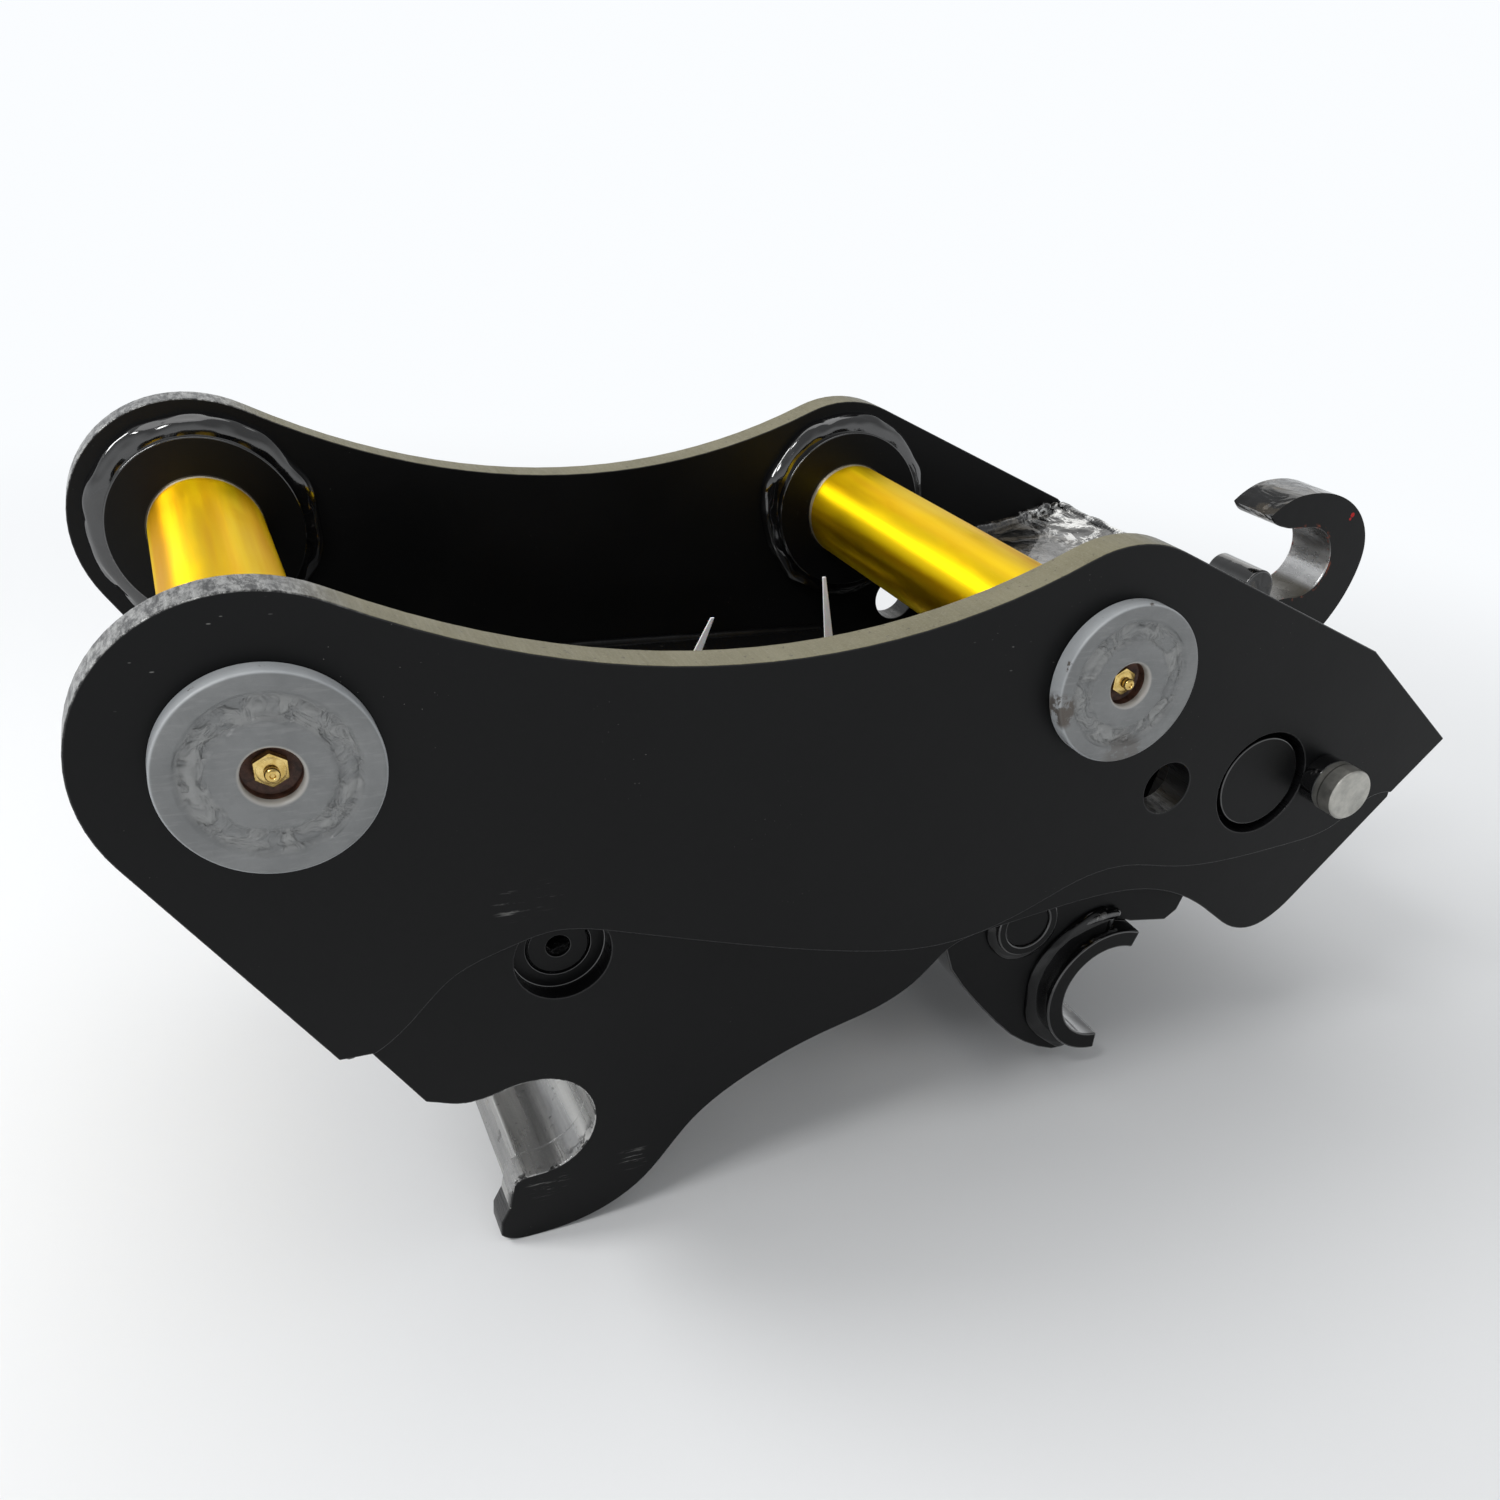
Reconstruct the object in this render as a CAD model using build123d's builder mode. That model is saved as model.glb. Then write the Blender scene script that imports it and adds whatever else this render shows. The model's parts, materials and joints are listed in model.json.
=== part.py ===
from build123d import *
import os
from math import asin, cos, degrees, hypot, radians, sin

# Pin-grab quick coupler for a 20-25 t excavator, in millimetres.
# X runs from the stick (arm) pin to the link pin, Y across the coupler and Z up.
# The origin is on the stick pin's axis, half way between the two ear plates.

# ---- driving dimensions ----
pin_spacing = 525.0          # stick pin to link pin
pin_r = 40.0                 # stick, link and bucket pins
overall_w = 450.0            # over the two ear plates
plate_t = 25.0               # ear plates and hook plates
ear_r = 90.0                 # rounded ends of the ear plates
saddle_z = 32.4              # lowest point of the ear plates' curved top edge
running_gap = 0.05           # radial clearance of a shaft in its bush

boss_r = 67.5                # rings round the pin holes, inside the ears
boss_w = 16.0
cap_r = 55.0                 # round heads of the pins
cap_w = 14.0
collar_r = 58.0              # retaining collars at the far ends of the pins
collar_w = 25.0
bolt_r = 8.0                 # M16 retaining bolts through collar and pin

jaw_x, jaw_z = 132.0, -296.0     # fixed front jaw
jaw_r = 40.4
saddle_wall = 24.0               # wall of the liner behind the front jaw

pivot_x, pivot_z = 682.0, -98.0  # pivot shaft of the moving hook
pivot_r = 28.0
pivot_head_r = 36.0
pivot_recess_r = 41.3
pivot_bush_r = 34.0
pivot_tube_r = 41.0
hook_x, hook_z = 628.0, -312.5   # rear jaw with the hook at rest
hook_r = 44.0
hook_liner_r = 59.5
hook_liner_y = 171.0
arm_near_y, arm_far_y = 152.0, 114.0

anchor_x, anchor_z = 153.3, -162.0   # cylinder anchor pin
anchor_r = 21.0
anchor_bush_r = 31.0
anchor_recess = 13.0                 # its ends lie below the hook plates' faces
eye_x, eye_z = 541.0, -237.0         # rod pin in the moving hook's arms
eye_r = 20.0
open_pivot_gap = 3.2                 # the linkage is opened here: rod eye on rod pin

guard_x, guard_z = 741.0, -100.0     # safety bar behind the pivot
guard_r = 16.0
guard_head_r = 20.0
guard_out = 34.0                     # how far it stands out of the near ear plate
guard_sleeve_w = 14.0
hole_x, hole_z = 590.0, -90.0        # spare bar hole through both ear plates
hole_r = 20.0

hook_back, hook_forward = -14.0, 4.0  # the moving hook's travel in degrees

# ---- places worked out from them ----
ear_out = overall_w / 2
ear_in = ear_out - plate_t
hook_out = ear_in
hook_in = hook_out - plate_t

arc_rise = ear_r - saddle_z
arc_z = ((pin_spacing / 2) ** 2 - arc_rise ** 2) / (2 * arc_rise)
arc_x = pin_spacing / 2
ear_share = ear_r / hypot(arc_x, arc_z)

stroke_x = eye_x - anchor_x
stroke_z = eye_z - anchor_z
cyl_length = hypot(stroke_x, stroke_z)

os.makedirs("parts", exist_ok=True)


# ---- helpers ----
def side_plane(y):
    """The side view at depth y: X to the right, Z up, normal towards -Y."""
    return Plane.XZ.offset(-y)


def cyl_plane(y=0.0):
    """A side view that follows the cylinder: x from anchor pin to rod pin."""
    origin = (anchor_x, y, anchor_z)
    return Plane(origin=origin, x_dir=(stroke_x, 0, stroke_z), z_dir=(0, -1, 0))


def cyl_cross(along):
    """The plane across the cylinder at a distance from its anchor pin."""
    share = along / cyl_length
    origin = (anchor_x + stroke_x * share, 0, anchor_z + stroke_z * share)
    return Plane(origin=origin, x_dir=(0, 1, 0), z_dir=(stroke_x, 0, stroke_z))


def save(part, name):
    """Label a finished piece and write its STEP file."""
    part.label = name
    export_step(part, f"parts/{name}.step")


def save_pair(part, name):
    """Write a piece of the near (left) side and its twin on the right."""
    save(part, "left_" + name)
    save(mirror(part, about=Plane.XZ), "right_" + name)


def both_sides(part):
    """One part holding a piece and its mirror image."""
    with BuildPart() as pair:
        add(part)
        add(mirror(part, about=Plane.XZ))
    return pair.part


def disc(x, z, radius, y_from, y_to):
    """A round bar across the coupler, between two depths."""
    with BuildPart() as bar:
        with BuildSketch(side_plane(y_from)):
            with Locations((x, z)):
                Circle(radius)
        extrude(amount=y_from - y_to)
    return bar.part


def ring(x, z, outer, inner, y_from, y_to):
    """A ring across the coupler, between two depths."""
    with BuildPart() as band:
        with BuildSketch(side_plane(y_from)):
            with Locations((x, z)):
                Circle(outer)
                Circle(inner, mode=Mode.SUBTRACT)
        extrude(amount=y_from - y_to)
    return band.part


def slab(outline, y_from, y_to, holes=()):
    """A plate cut to a side-view outline, with round holes (x, z, radius)."""
    with BuildPart() as plate:
        with BuildSketch(side_plane(y_from)):
            add(outline)
            for x, z, radius in holes:
                with Locations((x, z)):
                    Circle(radius, mode=Mode.SUBTRACT)
        extrude(amount=y_from - y_to)
    return plate.part


# ---- ear plates ----
def ear_outline():
    """Two round ears, a hollow top edge and a wavy lower edge."""
    left_dir = radians(-57.8)
    right_dir = radians(-22.4)
    left_touch = (ear_r * sin(left_dir), -ear_r * cos(left_dir))
    right_touch = (pin_spacing - ear_r * sin(right_dir), ear_r * cos(right_dir))
    left_top = (arc_x * ear_share, arc_z * ear_share)
    right_top = (pin_spacing - left_top[0], left_top[1])
    with BuildSketch() as sketch:
        with BuildLine():
            ThreePointArc(left_touch, (-ear_r * cos(0.4), ear_r * sin(0.4)), left_top)
            ThreePointArc(left_top, (arc_x, saddle_z), right_top)
            ThreePointArc(right_top, (pin_spacing, ear_r), right_touch)
            Polyline(right_touch, (761, 0), (869, -82), (828, -125))
            Spline(
                (828, -125), (800, -129), (774, -147), (731, -157), (667, -162), (613, -159),
                (567, -151), (529, -156), (493, -171), (420, -190), (347, -182),
                (254, -157), (181, -134), (160, -128), (140, -126), (115, -132), (82, -146), (60, -168),
                (34, -190),
            )
            Polyline((34, -190), (14, -190), left_touch)
        make_face()
    return sketch.sketch


ear = slab(
    ear_outline(), -ear_in, -ear_out,
    [(0, 0, pin_r + running_gap), (pin_spacing, 0, pin_r + running_gap),
     (pivot_x, pivot_z, pivot_recess_r), (hole_x, hole_z, hole_r)],
)
with BuildPart() as left_ear:
    add(ear)
    with BuildSketch(side_plane(-ear_in)):
        with Locations((guard_x, guard_z)):
            Circle(guard_r + running_gap)
    extrude(amount=plate_t, mode=Mode.SUBTRACT)
save(left_ear.part, "left_ear_plate")
save(mirror(ear, about=Plane.XZ), "right_ear_plate")


# ---- hook plates, lapped inside the ear plates ----
def hook_plate_outline():
    """Fixed jaw open to the front, an arch for the moving hook, a rear heel."""
    with BuildSketch() as sketch:
        with BuildLine():
            Polyline((858, -145), (858, -108), (846, -96), (757, -28.5))
            ThreePointArc((757, -28.5), (702, -44), (638, -51))
            Polyline((638, -51), (618, -125.5), (-18, -125.5), (63, -254))
            Spline(
                (63, -254), (87, -262), (108, -259.5), (jaw_x, jaw_z + jaw_r),
                tangents=((0.9, -0.3), (1, 0)),
            )
            ThreePointArc(
                (jaw_x, jaw_z + jaw_r), (jaw_x + jaw_r, jaw_z), (jaw_x, jaw_z - jaw_r)
            )
            Spline(
                (jaw_x, jaw_z - jaw_r), (122, -337.8), (115, -342),
                tangents=((-1, 0), (-0.8, -0.6)),
            )
            Polyline((115, -342), (111.5, -362), (105.5, -374), (105, -386))
            Spline(
                (105, -386), (111, -390.5), (129, -393), (162, -389), (207, -365), (243, -321),
                (290, -288), (346, -266), (392, -252), (420, -234), (442, -213),
                (478, -203), (520, -197), (570, -191.5), (613, -193), (646, -202),
                (670, -214), (696, -232), (722, -249), (745, -252), (764, -244), (780, -230),
            )
            Line((780, -230), (858, -145))
        make_face()
    return sketch.sketch


hook_plate = slab(
    hook_plate_outline(), -hook_in, -hook_out,
    [(pivot_x, pivot_z, pivot_r + running_gap), (anchor_x, anchor_z, anchor_bush_r),
     (guard_x, guard_z, guard_r + running_gap)],
)
save_pair(hook_plate, "hook_plate")

# ---- rings round the pin holes, welded inside the ears ----
save_pair(ring(0, 0, boss_r, pin_r + running_gap, -ear_in + boss_w, -ear_in), "stick_boss")
save_pair(
    ring(pin_spacing, 0, boss_r, pin_r + running_gap, -ear_in + boss_w, -ear_in), "link_boss"
)

# ---- liner of the front jaw: an arc of thick plate between the hook plates ----
with BuildPart() as front_saddle:
    with BuildSketch(side_plane(hook_in)):
        with Locations((jaw_x, jaw_z)):
            Circle(jaw_r + saddle_wall)
        add(hook_plate_outline(), mode=Mode.INTERSECT)
        with BuildLine():
            Polyline((126, -325), (121, -341), (112.5, -361), (112.5, -400), (60, -400),
                     (60, -325), close=True)
        make_face(mode=Mode.SUBTRACT)
    extrude(amount=2 * hook_in)
save(front_saddle.part, "front_jaw_saddle")

# ---- sloping plate that closes the front, from the deck down to the saddle ----
with BuildPart() as front_plate:
    with BuildSketch(side_plane(hook_in)):
        with BuildLine():
            top = (9.0, -125.5)
            foot = (72.0, -225.5)
            Polyline(top, foot, (93, -225.5), (30, -125.5), top)
        make_face()
    extrude(amount=2 * hook_in)
save(front_plate.part, "front_cross_plate")

# ---- deck over the hook plates, with a window above the cylinder ----
deck_left, deck_right = -12.0, 520.0
deck_t = 12.0
with BuildPart() as deck:
    with BuildSketch(Plane.XY.offset(-125)):
        with Locations(((deck_left + deck_right) / 2, 0)):
            Rectangle(deck_right - deck_left, 2 * ear_in - 0.4)
        with Locations((300, 0)):
            RectangleRounded(400, 140, 15, mode=Mode.SUBTRACT)
    extrude(amount=deck_t)
save(deck.part, "deck_plate")

# ---- curved cross plate behind the link pin ----
scoop_w = 2 * ear_in - 0.4
with BuildPart() as rear_cross:
    with BuildSketch(side_plane(scoop_w / 2)):
        with BuildLine():
            ThreePointArc((632, -32), (702, -24), (757, -2))
            Line((757, -2), (757, -26))
            ThreePointArc((757, -26), (702, -41), (632, -48))
            Line((632, -48), (632, -32))
        make_face()
    extrude(amount=scoop_w)
save(rear_cross.part, "rear_cross_plate")

# ---- rear end plate, set just inside the ears' sloping ends ----
end_top, end_foot = (757.2, -4.0), (864.0, -85.0)
end_slope = (end_foot[1] - end_top[1]) / (end_foot[0] - end_top[0])
with BuildPart() as rear_end:
    with BuildSketch(side_plane(scoop_w / 2)):
        with BuildLine():
            Polyline(end_top, end_foot, (850, -97), (757.2, -26.5), close=True)
        make_face()
    extrude(amount=scoop_w)
save(rear_end.part, "rear_end_plate")


def on_end_plate(x):
    """The point of the rear end plate's outer face at x."""
    return x, end_top[1] + (x - end_top[0]) * end_slope


# ---- lifting hook on the rear end plate ----
lift_w = 50.0
lift_eye_x, lift_eye_z, lift_eye_r = 872.5, 0.0, 31.0
lift_foot_x = 843.0
with BuildPart() as lifting_hook:
    with BuildSketch(side_plane(lift_w / 2)):
        with BuildLine():
            Polyline(on_end_plate(lift_foot_x), on_end_plate(end_foot[0]), (885, -91))
            Spline(
                (885, -91), (921.5, -57), (935, -33), (942, -10), (943, 10), (937, 28),
                (923, 44.5), (904, 55.5), (880, 61), (859, 60.5), (844, 57), (832, 50.5),
                (822, 42.5),
                tangents=((0.8, 0.5), (-0.75, -0.65)),
            )
            Spline((822, 42.5), (829, 36), (842, 32), (lift_eye_x, lift_eye_z + lift_eye_r),
                   tangents=((0.6, -0.7), (1, 0)))
            ThreePointArc(
                (lift_eye_x, lift_eye_z + lift_eye_r),
                (lift_eye_x + lift_eye_r, lift_eye_z),
                (lift_eye_x, lift_eye_z - lift_eye_r),
            )
            Polyline(
                (lift_eye_x, lift_eye_z - lift_eye_r), (lift_foot_x, -34),
                on_end_plate(lift_foot_x),
            )
        make_face()
    extrude(amount=lift_w)
    long_edges = lifting_hook.faces().filter_by(Axis.Y).edges()
    fillet(long_edges.group_by(Axis.Z)[-1], radius=1.5)
save(lifting_hook.part, "lifting_hook")

# ---- round-topped block that closes the foot of the lifting hook ----
block_w = 54.0
block_r = 16.0
block_z = -20.0
block_right = lift_foot_x - 0.5
block_left = block_right - 2 * block_r
with BuildPart() as tip_block:
    with BuildSketch(side_plane(block_w / 2)):
        with BuildLine():
            Line(on_end_plate(block_right), (block_right, block_z))
            ThreePointArc(
                (block_right, block_z), (block_right - block_r, block_z + block_r),
                (block_left, block_z),
            )
            Polyline((block_left, block_z), on_end_plate(block_left), on_end_plate(block_right))
        make_face()
    extrude(amount=block_w)
save(tip_block.part, "sling_tip_block")


# ---- stick pin and link pin, each with head, collar, bolt and nipple ----
pin_near, pin_far = -ear_out, ear_out + collar_w
bolt_y = ear_out + collar_w / 2
bolt_play = 0.5
bolt_reach = 66.0            # from the pin's axis to the underside of the bolt head
bolt_tail = 14.0             # thread left below the second nut
head_t, nut_r, nut_t = 10.0, 13.5, 12.0
pocket_r = 15.0              # hole through the cap, round the nipple
rim_out_r, rim_in_r, rim_depth = 33.0, 29.0, 1.5
nipple_bore_r, nipple_bore_depth = 5.0, 12.0
nipple_hex_r, nipple_hex_w = 9.6, 6.0
nipple_neck_r, nipple_neck_w, nipple_head_w = 3.8, 3.5, 4.0


def pin_shaft(x):
    """A plain pin with a hole across its far end for the retaining bolt."""
    with BuildPart() as shaft:
        add(disc(x, 0, pin_r, pin_far, pin_near))
        chamfer(shaft.faces().sort_by(Axis.Y)[-1].edges(), length=3)
        with BuildSketch(Plane.XY.offset(-pin_r)):
            with Locations((x, bolt_y)):
                Circle(bolt_r + bolt_play)
        extrude(amount=2 * pin_r, mode=Mode.SUBTRACT)
        with BuildSketch(side_plane(pin_near + nipple_bore_depth)):
            with Locations((x, 0)):
                Circle(nipple_bore_r)
        extrude(amount=nipple_bore_depth, mode=Mode.SUBTRACT)
    return shaft.part


def pin_cap(x):
    """The pin's round head: a disc with a pocket for the grease nipple."""
    rim = -ear_out - cap_w
    with BuildPart() as cap:
        add(disc(x, 0, cap_r, -ear_out, rim))
        with BuildSketch(side_plane(-ear_out)):
            with Locations((x, 0)):
                Circle(pocket_r)
        extrude(amount=cap_w, mode=Mode.SUBTRACT)
        chamfer(cap.faces().sort_by(Axis.Y)[0].outer_wire().edges(), length=2.5)
        with BuildSketch(side_plane(rim)):
            with Locations((x, 0)):
                Circle(rim_out_r)
                Circle(rim_in_r, mode=Mode.SUBTRACT)
        extrude(amount=-rim_depth, mode=Mode.SUBTRACT)
    return cap.part


def grease_nipple(x):
    """A hexagon foot, a neck and a round head, screwed into the pin's end."""
    hex_end = pin_near - nipple_hex_w
    with BuildPart() as nipple:
        with BuildSketch(side_plane(pin_near)):
            with Locations((x, 0)):
                RegularPolygon(nipple_hex_r, 6)
        extrude(amount=nipple_hex_w)
        with BuildSketch(side_plane(pin_near + nipple_bore_depth - 2)):
            with Locations((x, 0)):
                Circle(nipple_bore_r - 0.1)
        extrude(amount=nipple_bore_depth - 2)
        with BuildSketch(side_plane(hex_end)):
            with Locations((x, 0)):
                Circle(nipple_neck_r)
        extrude(amount=nipple_neck_w)
        with BuildSketch(side_plane(hex_end - nipple_neck_w)):
            with Locations((x, 0)):
                Circle(nipple_neck_r)
        extrude(amount=nipple_head_w, taper=25)
    return nipple.part


def pin_collar(x):
    """The far collar, with a hole for the bolt straight through it."""
    with BuildPart() as collar:
        add(ring(x, 0, collar_r, pin_r + running_gap, ear_out + collar_w, ear_out))
        chamfer(collar.faces().sort_by(Axis.Y)[-1].outer_wire().edges(), length=3)
        with BuildSketch(Plane.XY.offset(-collar_r)):
            with Locations((x, bolt_y)):
                Circle(bolt_r + bolt_play)
        extrude(amount=2 * collar_r, mode=Mode.SUBTRACT)
    return collar.part


def retaining_bolt(x):
    """A hexagon bolt through collar and pin, head on top."""
    bolt_end = -bolt_reach - nut_t - bolt_tail
    with BuildPart() as bolt:
        with BuildSketch(Plane.XY.offset(bolt_end)):
            with Locations((x, bolt_y)):
                Circle(bolt_r)
        extrude(amount=bolt_reach - bolt_end)
        with BuildSketch(Plane.XY.offset(bolt_reach - head_t / 2)):
            with Locations((x, bolt_y)):
                RegularPolygon(nut_r, 6)
        extrude(amount=head_t)
    return bolt.part


def retaining_nuts(x):
    """Two nuts locked against each other under the collar."""
    with BuildPart() as nuts:
        for level in (-bolt_reach - nut_t + 4, -bolt_reach - 2 * nut_t + 2):
            with BuildSketch(Plane.XY.offset(level)):
                with Locations((x, bolt_y)):
                    RegularPolygon(nut_r, 6)
                    Circle(bolt_r + 0.1, mode=Mode.SUBTRACT)
            extrude(amount=nut_t)
    return nuts.part


for station, x in (("stick", 0.0), ("link", pin_spacing)):
    save(pin_shaft(x), station + "_pin")
    save(pin_cap(x), station + "_pin_cap")
    save(grease_nipple(x), station + "_grease_nipple")
    save(pin_collar(x), station + "_pin_collar")
with BuildPart() as bolts:
    for x in (0.0, pin_spacing):
        add(retaining_bolt(x))
save(bolts.part, "retaining_bolts")
with BuildPart() as nuts:
    for x in (0.0, pin_spacing):
        add(retaining_nuts(x))
save(nuts.part, "retaining_nuts")

# ---- cylinder anchor pin, with a tapped puller hole in each end ----
anchor_end = hook_out - anchor_recess
puller_r, puller_depth = 8.0, 30.0
with BuildPart() as anchor_pin:
    add(disc(anchor_x, anchor_z, anchor_r, anchor_end, -anchor_end))
    chamfer(anchor_pin.faces().filter_by(Axis.Y).edges(), length=2)
    for side in (-1, 1):
        with BuildSketch(side_plane(side * anchor_end)):
            with Locations((anchor_x, anchor_z)):
                Circle(puller_r)
        extrude(amount=side * puller_depth, mode=Mode.SUBTRACT)
save(anchor_pin.part, "cylinder_anchor_pin")
anchor_bush = ring(
    anchor_x, anchor_z, anchor_bush_r, anchor_r + running_gap, -hook_in, -anchor_end
)
save(both_sides(anchor_bush), "anchor_pin_bushes")

# ---- pivot shaft of the moving hook, one head let into each ear plate ----
with BuildPart() as pivot_shaft:
    add(disc(pivot_x, pivot_z, pivot_r, hook_out, -hook_out))
    add(disc(pivot_x, pivot_z, pivot_head_r, -ear_in, -ear_out + 3))
    add(disc(pivot_x, pivot_z, pivot_head_r, ear_out - 3, ear_in))
save(pivot_shaft.part, "hook_pivot_shaft")

# ---- sleeve that guides the safety bar, welded to the near ear plate ----
sleeve_end = -ear_out - guard_sleeve_w
save(
    ring(guard_x, guard_z, guard_head_r - 0.6, guard_r + running_gap, -ear_out, sleeve_end),
    "safety_bar_sleeve",
)


# ---- moving hook: two arms, a half-tube jaw liner, a web and the rod pin ----
def arm_outline():
    """Boss on the pivot, lug on the rod pin, and the hook round the rear jaw."""
    reach_x, reach_z = eye_x - pivot_x, eye_z - pivot_z
    reach = hypot(reach_x, reach_z)
    across_x, across_z = reach_z / reach, -reach_x / reach
    boss, lug = 52.0, 40.0
    notch_reach = hypot(guard_x - pivot_x, guard_z - pivot_z)
    notch_rest = degrees(asin((guard_z - pivot_z) / notch_reach))
    notch_from = notch_rest - hook_forward - 2
    notch_to = notch_rest - hook_back + 2
    with BuildSketch() as sketch:
        with Locations((pivot_x, pivot_z)):
            Circle(boss)
        with Locations((eye_x, eye_z)):
            Circle(lug)
        with BuildLine():
            Polyline(
                (pivot_x + boss * across_x, pivot_z + boss * across_z),
                (eye_x + lug * across_x, eye_z + lug * across_z),
                (463, -222), (466, -238), (471, -251), (479, -272), (492, -290.5),
                (506, -307.5), (519, -322), (532, -336), (550, -353.5), (566, -365),
                (582, -374), (597, -380), (608, -380.5), (618, -378), (618, hook_z - 20),
                (hook_x, hook_z + 50), (650, -258), (691, -264), (702, -256), (706, -244),
                (733, -106),
                close=True,
            )
        make_face()
        with Locations((hook_x, hook_z)):
            Circle(hook_liner_r, mode=Mode.SUBTRACT)
        with BuildLine():
            sweep_start = (pivot_x + notch_reach * cos(radians(notch_from)),
                           pivot_z + notch_reach * sin(radians(notch_from)))
            sweep_mid = (pivot_x + notch_reach * cos(radians((notch_from + notch_to) / 2)),
                         pivot_z + notch_reach * sin(radians((notch_from + notch_to) / 2)))
            sweep_end = (pivot_x + notch_reach * cos(radians(notch_to)),
                         pivot_z + notch_reach * sin(radians(notch_to)))
            notch_line = ThreePointArc(sweep_start, sweep_mid, sweep_end)
        SlotArc(notch_line, 2 * guard_r + 3, mode=Mode.SUBTRACT)
    return sketch.sketch


arm = slab(
    arm_outline(), -arm_far_y, -arm_near_y,
    [(pivot_x, pivot_z, pivot_bush_r), (eye_x, eye_z, eye_r + running_gap)],
)
save_pair(arm, "hook_arm")
bush = ring(pivot_x, pivot_z, pivot_bush_r, pivot_r + running_gap, -arm_far_y, -arm_near_y)
save(both_sides(bush), "pivot_bushes")

# half a thick tube whose mouth faces the rear and a little down
mouth_top, mouth_foot = 69.0, -91.0
with BuildPart() as rear_saddle:
    with BuildSketch(side_plane(hook_liner_y)):
        with BuildLine():
            far = 2 * hook_liner_r
            Polyline(
                (hook_x, hook_z),
                (hook_x + far * cos(radians(mouth_top)), hook_z + far * sin(radians(mouth_top))),
                (hook_x - far, hook_z + far), (hook_x - far, hook_z - far),
                (hook_x + far * cos(radians(mouth_foot)), hook_z + far * sin(radians(mouth_foot))),
                close=True,
            )
        make_face()
        with Locations((hook_x, hook_z)):
            Circle(hook_liner_r, mode=Mode.INTERSECT)
            Circle(hook_r, mode=Mode.SUBTRACT)
    extrude(amount=2 * hook_liner_y)
save(rear_saddle.part, "rear_jaw_saddle")

# webs between the arms: one along their back, one from the jaw up to the pivot tube
web_y = arm_far_y - 0.1
with BuildPart() as back_web:
    with BuildSketch(side_plane(web_y)):
        with BuildLine():
            Polyline((514, -309), (550, -349), (564, -336), (528, -296), close=True)
        make_face()
    extrude(amount=2 * web_y)
save(back_web.part, "hook_back_web")
with BuildPart() as main_web:
    with BuildSketch(side_plane(web_y)):
        with BuildLine():
            Polyline((620, -262), (648, -262), (694, -130), (672, -130), close=True)
        make_face()
        with Locations((pivot_x, pivot_z)):
            Circle(pivot_tube_r, mode=Mode.SUBTRACT)
        with Locations((hook_x, hook_z)):
            Circle(hook_liner_r, mode=Mode.SUBTRACT)
    extrude(amount=2 * web_y)
save(main_web.part, "hook_main_web")
save(
    ring(pivot_x, pivot_z, pivot_tube_r, pivot_bush_r, web_y, -web_y), "hook_pivot_tube"
)

# rod pin, the discs that keep it in the arms and the tubes that centre the rod eye
rod_pin_y = arm_near_y + 6
keeper_r, keeper_w = 28.0, 8.0
eye_half_w = 30.0
save(disc(eye_x, eye_z, eye_r, rod_pin_y, -rod_pin_y), "rod_pin")
keeper = ring(
    eye_x, eye_z, keeper_r, eye_r + running_gap, -arm_near_y, -arm_near_y - keeper_w
)
save(both_sides(keeper), "rod_pin_keepers")
centring_tube = ring(
    eye_x, eye_z, keeper_r, eye_r + running_gap, -eye_half_w - 1, -arm_far_y + 0.1
)
save(both_sides(centring_tube), "rod_pin_spacers")

# rings on the pivot shaft and tubes on the anchor pin, fixed to the frame's side
pivot_ring_r, anchor_tube_r = 38.0, 29.0
pivot_ring = ring(
    pivot_x, pivot_z, pivot_ring_r, pivot_r + running_gap, -arm_near_y - 1, -hook_in + 0.1
)
save(both_sides(pivot_ring), "pivot_spacer_rings")
anchor_half_w = 30.0
anchor_tube = ring(
    anchor_x, anchor_z, anchor_tube_r, anchor_r + running_gap, -anchor_half_w - 1, -hook_in + 0.1
)
save(both_sides(anchor_tube), "anchor_pin_spacers")

# ---- hydraulic cylinder: sizes are distances along it from the anchor pin ----
barrel_r, bore_r = 47.5, 37.5
barrel_start, bore_start, barrel_end = 40.0, 58.0, 290.0
anchor_eye_r, anchor_eye_h, eye_bush_r = 38.0, 66.0, 25.0
with BuildPart() as barrel:
    with BuildSketch(cyl_cross(barrel_start)):
        Circle(barrel_r)
    extrude(amount=barrel_end - barrel_start)
    with BuildSketch(cyl_plane(anchor_half_w)):
        Circle(anchor_eye_r)
        with Locations((barrel_start / 2, 0)):
            Rectangle(barrel_start + 2, anchor_eye_h)
    extrude(amount=2 * anchor_half_w)
    with BuildSketch(cyl_plane(anchor_half_w)):
        Circle(eye_bush_r)
    extrude(amount=2 * anchor_half_w, mode=Mode.SUBTRACT)
    with BuildSketch(cyl_cross(bore_start)):
        Circle(bore_r)
    extrude(amount=barrel_end - bore_start, mode=Mode.SUBTRACT)
save(barrel.part, "cylinder_barrel")
save(
    ring(anchor_x, anchor_z, eye_bush_r, anchor_r + running_gap, anchor_half_w, -anchor_half_w),
    "anchor_eye_bush",
)

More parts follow.
